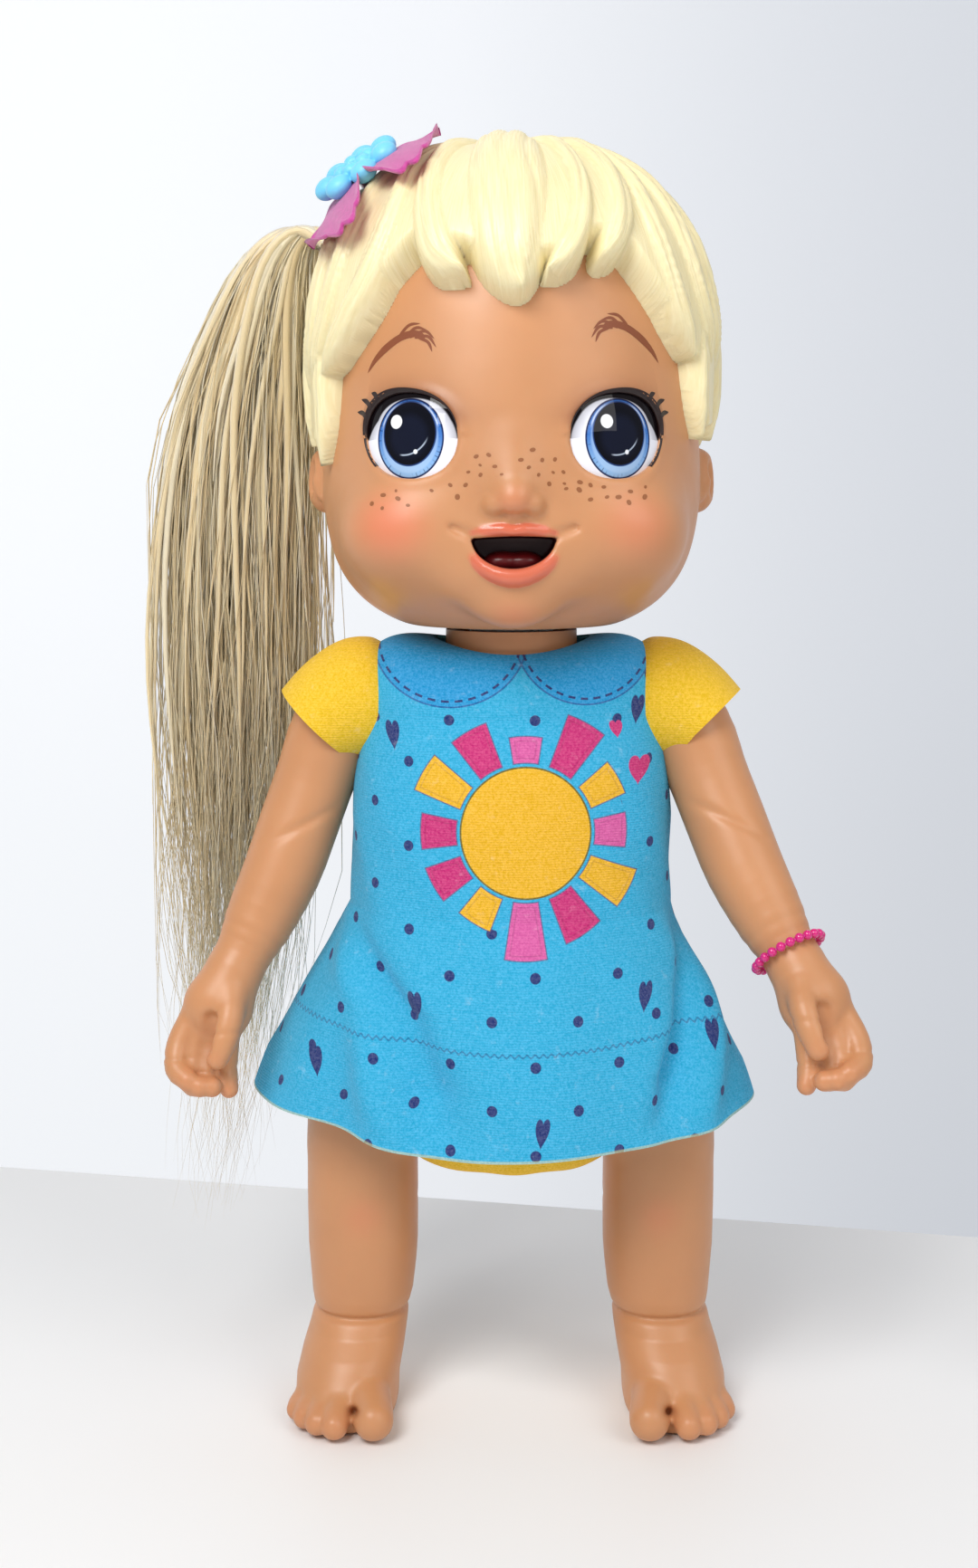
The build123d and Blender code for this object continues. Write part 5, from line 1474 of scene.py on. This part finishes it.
def flannel(name, colour, printed=False):
    """Brushed cotton, with the dress print where printed."""
    n = Nodes(name)
    place = n.object_place()
    fibre = n.noise(1300.0, 6.0, place, 0.75)
    fluff = n.noise(260.0, 5.0, place, 0.65)
    colour = (*colour, 1.0)
    if printed:
        x, z = (n.add("Attribute", attribute_name=k).outputs["Fac"] for k in ("front_x", "front_z"))
        u, v = (n.add("Attribute", attribute_name=k).outputs["Fac"] for k in ("round", "height"))
        front = n.value("front", -1.5, -3.0)

        def offset(a, b, cx, cz):
            return n.math("SUBTRACT", a, cx), n.math("SUBTRACT", b, cz)

        def length(a, b):
            return n.math("SQRT", n.math("ADD", n.math("MULTIPLY", a, a), n.math("MULTIPLY", b, b)))

        def times(*values):
            out = values[0]
            for value in values[1:]:
                out = n.math("MULTIPLY", out, value)
            return out

        sun_x, sun_z = offset(x, z, *SUN_AT)
        r = length(sun_x, sun_z)
        away = n.math("SUBTRACT", 1.0, n.math("MULTIPLY", n.span(r, 30.5, 30.0), front))
        dots = None
        for shift_u, shift_v in ((0.0, 0.0), (13.0, 12.6)):
            du = n.math("PINGPONG", n.math("SUBTRACT", u, -6.2 + shift_u), 13.0)
            dv = n.math("PINGPONG", n.math("SUBTRACT", v, 137.0 + shift_v), 12.6)
            dot = n.span(length(du, dv), 1.75, 1.5)
            dots = dot if dots is None else n.math("MAXIMUM", dots, dot)
        marks = n.math("MULTIPLY", dots, away)

        def heart(cx, cz, wide, tall, tilt=0.0):
            a, b = offset(x, z, cx, cz)
            a = n.math("ADD", a, n.math("MULTIPLY", b, tilt))
            a = n.math("ABSOLUTE", n.math("DIVIDE", a, wide))
            b = n.math("DIVIDE", b, tall)
            lifted = n.math("SUBTRACT", b, n.math("MULTIPLY", n.math("SQRT", a), 0.85))
            return n.math("MULTIPLY", n.span(length(a, lifted), 1.06, 0.96), front)

        for k, (cx, cz) in enumerate(NAVY_HEARTS):
            marks = n.math("MAXIMUM", marks, heart(cx, cz, 2.1, 3.7, 0.12 * (-1) ** k))
        colour = n.mix(marks, colour, (*NAVY, 1.0))
        pinks = n.math("MAXIMUM", heart(38.5, 208.5, 3.4, 3.6, -0.1), heart(31.6, 221.5, 2.0, 2.2, 0.15))
        colour = n.mix(pinks, colour, (*RAY_MAGENTA, 1.0))

        angle = n.math("ARCTAN2", sun_x, sun_z)
        share = n.math("FRACT", n.math("ADD", n.math("DIVIDE", angle, 2 * math.pi), 1.0 + 0.5 / 12))
        stops = [(k / 12 + 1e-4 * (k > 0), c) for k, (c, _) in enumerate(RAYS)]
        ray_colour = n.ramp(share, stops, "CONSTANT")
        reach = n.ramp(share, [(k / 12 + 1e-4 * (k > 0), (w / 50,) * 3) for k, (_, w) in enumerate(RAYS)],
            "CONSTANT")
        reach = n.math("MULTIPLY", reach, 50.0)
        within = n.math("FRACT", n.math("MULTIPLY", share, 12.0))
        off_axis = n.math("MULTIPLY", n.math("ABSOLUTE", n.math("SUBTRACT", within, 0.5)),
            n.math("MULTIPLY", r, 2 * math.pi / 12))
        half = n.math("ADD", 3.6, n.math("MULTIPLY", n.math("SUBTRACT", r, 20.6), 0.16))
        inside = n.math("MINIMUM", n.math("SUBTRACT", half, off_axis),
                        n.math("MINIMUM", n.math("SUBTRACT", r, 20.9), n.math("SUBTRACT", reach, r)))
        ray = n.math("MULTIPLY", n.span(inside, -0.1, 0.15), front)
        rim = times(n.span(inside, -0.45, -0.2), front)
        colour = n.mix(n.math("MULTIPLY", rim, 0.75), colour, (*srgb(96, 60, 110), 1.0))
        colour = n.mix(ray, colour, ray_colour)
        inner = n.math("MULTIPLY", n.span(n.math("ABSOLUTE", n.math("SUBTRACT", inside, 1.3)), 0.3, 0.1), ray)
        colour = n.mix(n.math("MULTIPLY", inner, 0.22), colour, (*srgb(90, 20, 60), 1.0))
        colour = n.mix(n.math("MULTIPLY", n.span(r, 19.9, 19.7), front), colour, (*srgb(112, 104, 30), 1.0))
        colour = n.mix(n.math("MULTIPLY", n.span(r, 19.35, 19.2), front), colour, (*SUN_YELLOW, 1.0))

        collar, stitch, outline = None, None, None
        for cx, cz, rx, rz in ((-19.2, 251.0, 24.2, 22.0), (22.6, 252.0, 22.4, 22.2)):
            a, b = offset(x, z, cx, cz)
            a, b = n.math("DIVIDE", a, rx), n.math("DIVIDE", b, rz)
            e = n.math("MULTIPLY", n.math("SUBTRACT", length(a, b), 1.0), 22.0)
            area = n.math("MULTIPLY", n.span(e, 0.1, -0.1), front)
            dash = n.span(n.math("SINE", n.math("MULTIPLY", n.math("ARCTAN2", b, a), 34.0)), -0.35, -0.1)
            line = times(n.span(n.math("ABSOLUTE", n.math("ADD", e, 1.7)), 0.42, 0.28), dash, front)
            edge = times(n.span(n.math("ABSOLUTE", e), 0.34, 0.18), front)
            collar = area if collar is None else n.math("MAXIMUM", collar, area)
            stitch = line if stitch is None else n.math("MAXIMUM", stitch, line)
            outline = edge if outline is None else n.math("MAXIMUM", outline, edge)
        colour = n.mix(collar, colour, (*COLLAR_BLUE, 1.0))
        colour = n.mix(n.math("MULTIPLY", outline, 0.8), colour, (*srgb(14, 84, 160), 1.0))
        colour = n.mix(stitch, colour, (*NAVY, 1.0))
        seam = n.add("Attribute", attribute_name="seam").outputs["Fac"]
        zigzag = n.math("MULTIPLY", n.math("SINE", n.math("MULTIPLY", u, 2.6)), 0.45)
        thread = n.span(n.math("ABSOLUTE", n.math("ADD", seam, zigzag)), 0.42, 0.22)
        colour = n.mix(n.math("MULTIPLY", thread, 0.8), colour, (*srgb(20, 118, 170), 1.0))
        edge_thread = n.value("edge", 1.0, 0.5)
        colour = n.mix(n.math("MULTIPLY", edge_thread, 0.55), colour, (*srgb(208, 214, 160), 1.0))
    pale = n.mix(0.07, colour, (1.0, 1.0, 1.0, 1.0))
    deep = n.mix(0.2, colour, (0.0, 0.0, 0.0, 1.0))
    base = n.mix(n.span(fibre, 0.32, 0.68), deep, pale)
    bobbles = n.mix(0.3, colour, (1.0, 1.0, 1.0, 1.0))
    base = n.mix(n.math("MULTIPLY", n.span(fluff, 0.6, 0.74), 0.4), base, bobbles)
    n.set(Base_Color=base, Roughness=n.patchy(0.9))
    n.shader.inputs["Sheen Weight"].default_value = 0.12
    n.shader.inputs["Sheen Roughness"].default_value = 0.5
    n.shader.inputs["Specular IOR Level"].default_value = 0.15
    weave = n.add("TexWave", {"Vector": place, "Scale": 420.0, "Distortion": 2.0, "Detail": 1.0},
        bands_direction="Z").outputs[1]
    n.bump(n.math("ADD", n.math("MULTIPLY", weave, 0.35), n.math("ADD", fibre, fluff)), 0.55, 0.0005)
    return n.material


dress_cloth = flannel("dress_blue", DRESS_BLUE, printed=True)
turns = np.arange(380) / 380 * 2 * math.pi - math.pi


def dress_values(a, b, verts):
    fine = np.linspace(-math.pi, math.pi, 721)
    rows = np.linspace(90, 266, 45)
    table = []
    for h in rows:
        ring = dress_place(fine, np.full(721, h))
        arc = np.concatenate([[0], np.cumsum(np.linalg.norm(np.diff(ring[:, :2], axis=0), axis=1))])
        table.append(arc - arc[360])
    table = np.array(table)
    low = np.clip(((b - 90) / 4).astype(int), 0, 43)
    f = (b - 90) / 4 - low
    at = (a + math.pi) / (2 * math.pi) * 720
    left = np.clip(at.astype(int), 0, 719)
    g = at - left

    def look(row):
        return table[row, left] * (1 - g) + table[row, left + 1] * g

    arc = look(low) * (1 - f) + look(low + 1) * f
    seam_at = 127.5 + 6.0 * np.abs(np.sin(a)) ** 1.5
    values = {
        "front_x": verts[:, 0], "front_z": verts[:, 2], "round": arc, "height": verts[:, 2],
        "front": verts[:, 1], "seam": np.clip(verts[:, 2] - seam_at, -9, 9), "edge": b - 98.0,
    }
    return {key: np.tile(numbers, 2) for key, numbers in values.items()}


a, b, quads = trimmed(dress_place, turns, np.linspace(WAIST_Z, 265.0, 96), True, [armhole, back_opening])
outside = dress_place(a, b)
verts, faces = thick(outside, quads, CLOTH)
bodice = put("dress_bodice_cloth", verts, faces, dress_cloth, sharp=45, values=dress_values(a, b, outside))
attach(bodice, "torso")
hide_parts("dress_bodice")
for side, name in ((1, "left"), (-1, "right")):
    half = np.linspace(0, math.pi, 191) * side
    a, b, quads = trimmed(dress_place, half, np.linspace(98.0, WAIST_Z, 68), False, [back_opening])
    quads = quads if side > 0 else quads[:, ::-1]
    outside = dress_place(a, b)
    verts, faces = thick(outside, quads, CLOTH)
    skirt = put("dress_skirt_" + name, verts, faces, dress_cloth, sharp=45,
        values=dress_values(a, b, outside))
    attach(skirt, "torso")
    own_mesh(skirt)
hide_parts("dress_skirt")

sleeve_cloth = flannel("cloth_yellow", srgb(252, 204, 16))
SLEEVE = np.array([
    # centre x, z; half depth, half height; direction out x, z
    (40.5, 229.0, 17.6, 17.8, 1.0, 0.0), (44.5, 229.6, 18.4, 18.8, 1.0, -0.02),
    (49.5, 229.0, 18.6, 18.6, 0.96, -0.22),
    (55.5, 225.6, 18.2, 17.0, 0.86, -0.5), (61.0, 221.0, 17.8, 15.2, 0.7, -0.71),
])


def sleeve_place(turn, along):
    rows = smooth_path(SLEEVE, 60)
    at = np.clip(along, 0, 1) * 59
    low = np.clip(at.astype(int), 0, 58)
    row = rows[low] + (at - low)[:, None] * (rows[low + 1] - rows[low])
    out = row[:, 4:6] / np.linalg.norm(row[:, 4:6], axis=1)[:, None]
    up_x, up_z = -out[:, 1], out[:, 0]
    power = 2 / 2.1
    sn, cs = np.sin(turn), np.cos(turn)
    depth = row[:, 2] * np.sign(sn) * np.abs(sn) ** power
    height = row[:, 3] * np.sign(cs) * np.abs(cs) ** power
    height = height + 0.5 * np.sin(3 * turn + 1) * along
    return np.stack([row[:, 0] + height * up_x, depth, row[:, 1] + height * up_z], 1)


for side, name in ((1, "left"), (-1, "right")):
    around = np.arange(120) / 120 * 2 * math.pi
    a, b, quads = trimmed(sleeve_place, around, np.linspace(0, 1, 30), True, [])
    outside = sleeve_place(a, b)
    if side > 0:
        share = np.clip((outside[:, 0] - 46) / 10, 0, 1)[:, None]
        outside = outside * (1 - share) + swung(outside, LEFT_ARM_SWING) * share
    else:
        outside = outside * MIRROR
        quads = quads[:, ::-1]
    verts, faces = thick(outside, quads[:, ::-1], CLOTH)
    sleeve = put("sleeve_" + name + "_cloth", verts, faces, sleeve_cloth, sharp=45)
    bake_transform(sleeve)
    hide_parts("sleeve_" + name)


# ---- underpants and the tab at the back --------------------------------------------------------
def shell_tree(node):
    """The node's surface, for casting rays at, in millimetres."""
    points = [node.matrix_world @ v.co / MM for v in node.data.vertices]
    return BVHTree.FromPolygons(points, [p.vertices[:] for p in node.data.polygons])


PANTS_MIDDLE = np.array([0, 0, 116.0])
PANTS_TOP, PANTS_FROM, PANTS_CLOTH = 138.0, 140.0, 0.8
pants_tree = shell_tree(frame["nodes"]["underpants"])


def pants_place(turn, tilt):
    way = np.stack([np.cos(tilt) * np.sin(turn), -np.cos(tilt) * np.cos(turn), np.sin(tilt)], 1)
    out = []
    for w in way:
        hit = pants_tree.ray_cast(Vector(PANTS_MIDDLE + PANTS_FROM * w), Vector(-w), PANTS_FROM)[0]
        out.append(PANTS_MIDDLE + 30 * w if hit is None else np.array(hit))
    out = np.array(out)
    gather = np.clip((out[:, 2] - 128) / 8, 0, 1) * 0.3 * np.sin(44 * turn) + 0.25 * np.sin(7 * turn + 5
        * tilt)
    return out + (0.1 + gather[:, None]) * way


LEG_HOLE_Z, LEG_HOLE_RADIUS, LEG_HOLE_FROM_X = 104.0, 8.2, 18


def leg_opening(p):
    radius = np.where(np.abs(p[:, 0]) > LEG_HOLE_FROM_X, LEG_HOLE_RADIUS, -FAR_FROM_HOLE)
    return np.hypot(p[:, 1], p[:, 2] - LEG_HOLE_Z) - radius


def pants_top(p):
    return PANTS_TOP - p[:, 2]


turns_round = np.arange(300) / 300 * 2 * math.pi - math.pi
a, b, quads = trimmed(pants_place, turns_round, np.linspace(-1.56, 0.78, 84), True, [pants_top, leg_opening])
outside = pants_place(a, b)
verts, faces = thick(outside, quads, PANTS_CLOTH)
pants = put("underpants_cloth", verts, faces, sleeve_cloth, sharp=45)
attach(pants, "torso")
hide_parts("underpants")

u, v = np.meshgrid(np.linspace(-1, 1, 41), np.linspace(-1, 1, 23), indexing="ij")
u, v = u.ravel(), v.ravel()
index = np.arange(len(u)).reshape(41, 23)
quads = np.stack([index[:-1, :-1], index[:-1, 1:], index[1:, 1:], index[1:, :-1]], -1).reshape(-1, 4)
edge_roll = 0.35 * np.maximum(np.abs(u) ** 8, np.abs(v) ** 6)
outside = np.stack([9 * u * (1 - 0.1 * v**6), 30.3 - 0.35 * u**2 - edge_roll, 234 + 5.1 * v
    * (1 - 0.1 * u**8)], 1)
verts, faces = thick(outside, quads, 0.9)
tab = put("dress_closure_tab", verts, faces, flannel("closure_blue", DRESS_BLUE), sharp=45)
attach(tab, "torso")
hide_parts("dress_closure")


# ---- the frame's own parts that stay in sight --------------------------------------------------
def metal(name, colour, rough):
    n = Nodes(name)
    n.set(Base_Color=varied(n, colour, 0.05, 90.0), Roughness=n.patchy(rough))
    n.shader.inputs["Metallic"].default_value = 1.0
    n.bump(n.noise(900.0, 3.0), 0.05, 0.0002)
    return n.material


FINISH = {
    "torso_shell": vinyl("torso_shell", SKIN_BASE),
    "hair_fibre": vinyl("hair_plug", srgb(206, 188, 136), rough=0.5),
    "cream_plastic": vinyl("cream_plastic", srgb(236, 226, 196)),
    "elastic": vinyl("elastic", srgb(206, 60, 140), rough=0.6),
    "mechanism_white": vinyl("mechanism_white", srgb(228, 228, 224)),
    "mechanism_black": vinyl("mechanism_black", srgb(34, 34, 36)),
    "steel": metal("steel", srgb(190, 192, 196), 0.3),
    "cell": vinyl("cell", srgb(60, 110, 70), rough=0.35),
    "board_green": vinyl("board_green", srgb(30, 92, 56), rough=0.4, scatter=0.0),
    "chips": vinyl("chips", srgb(30, 30, 32), rough=0.5, scatter=0.0),
    "cone_paper": felt("cone_paper", srgb(54, 50, 46)),
    "lead_insulation": vinyl("lead_insulation", srgb(170, 30, 30), rough=0.45),
    "skin": skin,
    "cloth_yellow": sleeve_cloth,
    "mouth_red": maroon,
}
for node in frame["nodes"].values():
    slot = node.data.materials[0].name.split(".")[0] if node.data.materials else ""
    if not node.hide_render:
        node.data.materials.clear()
        node.data.materials.append(FINISH.get(slot, FINISH["mechanism_white"]))
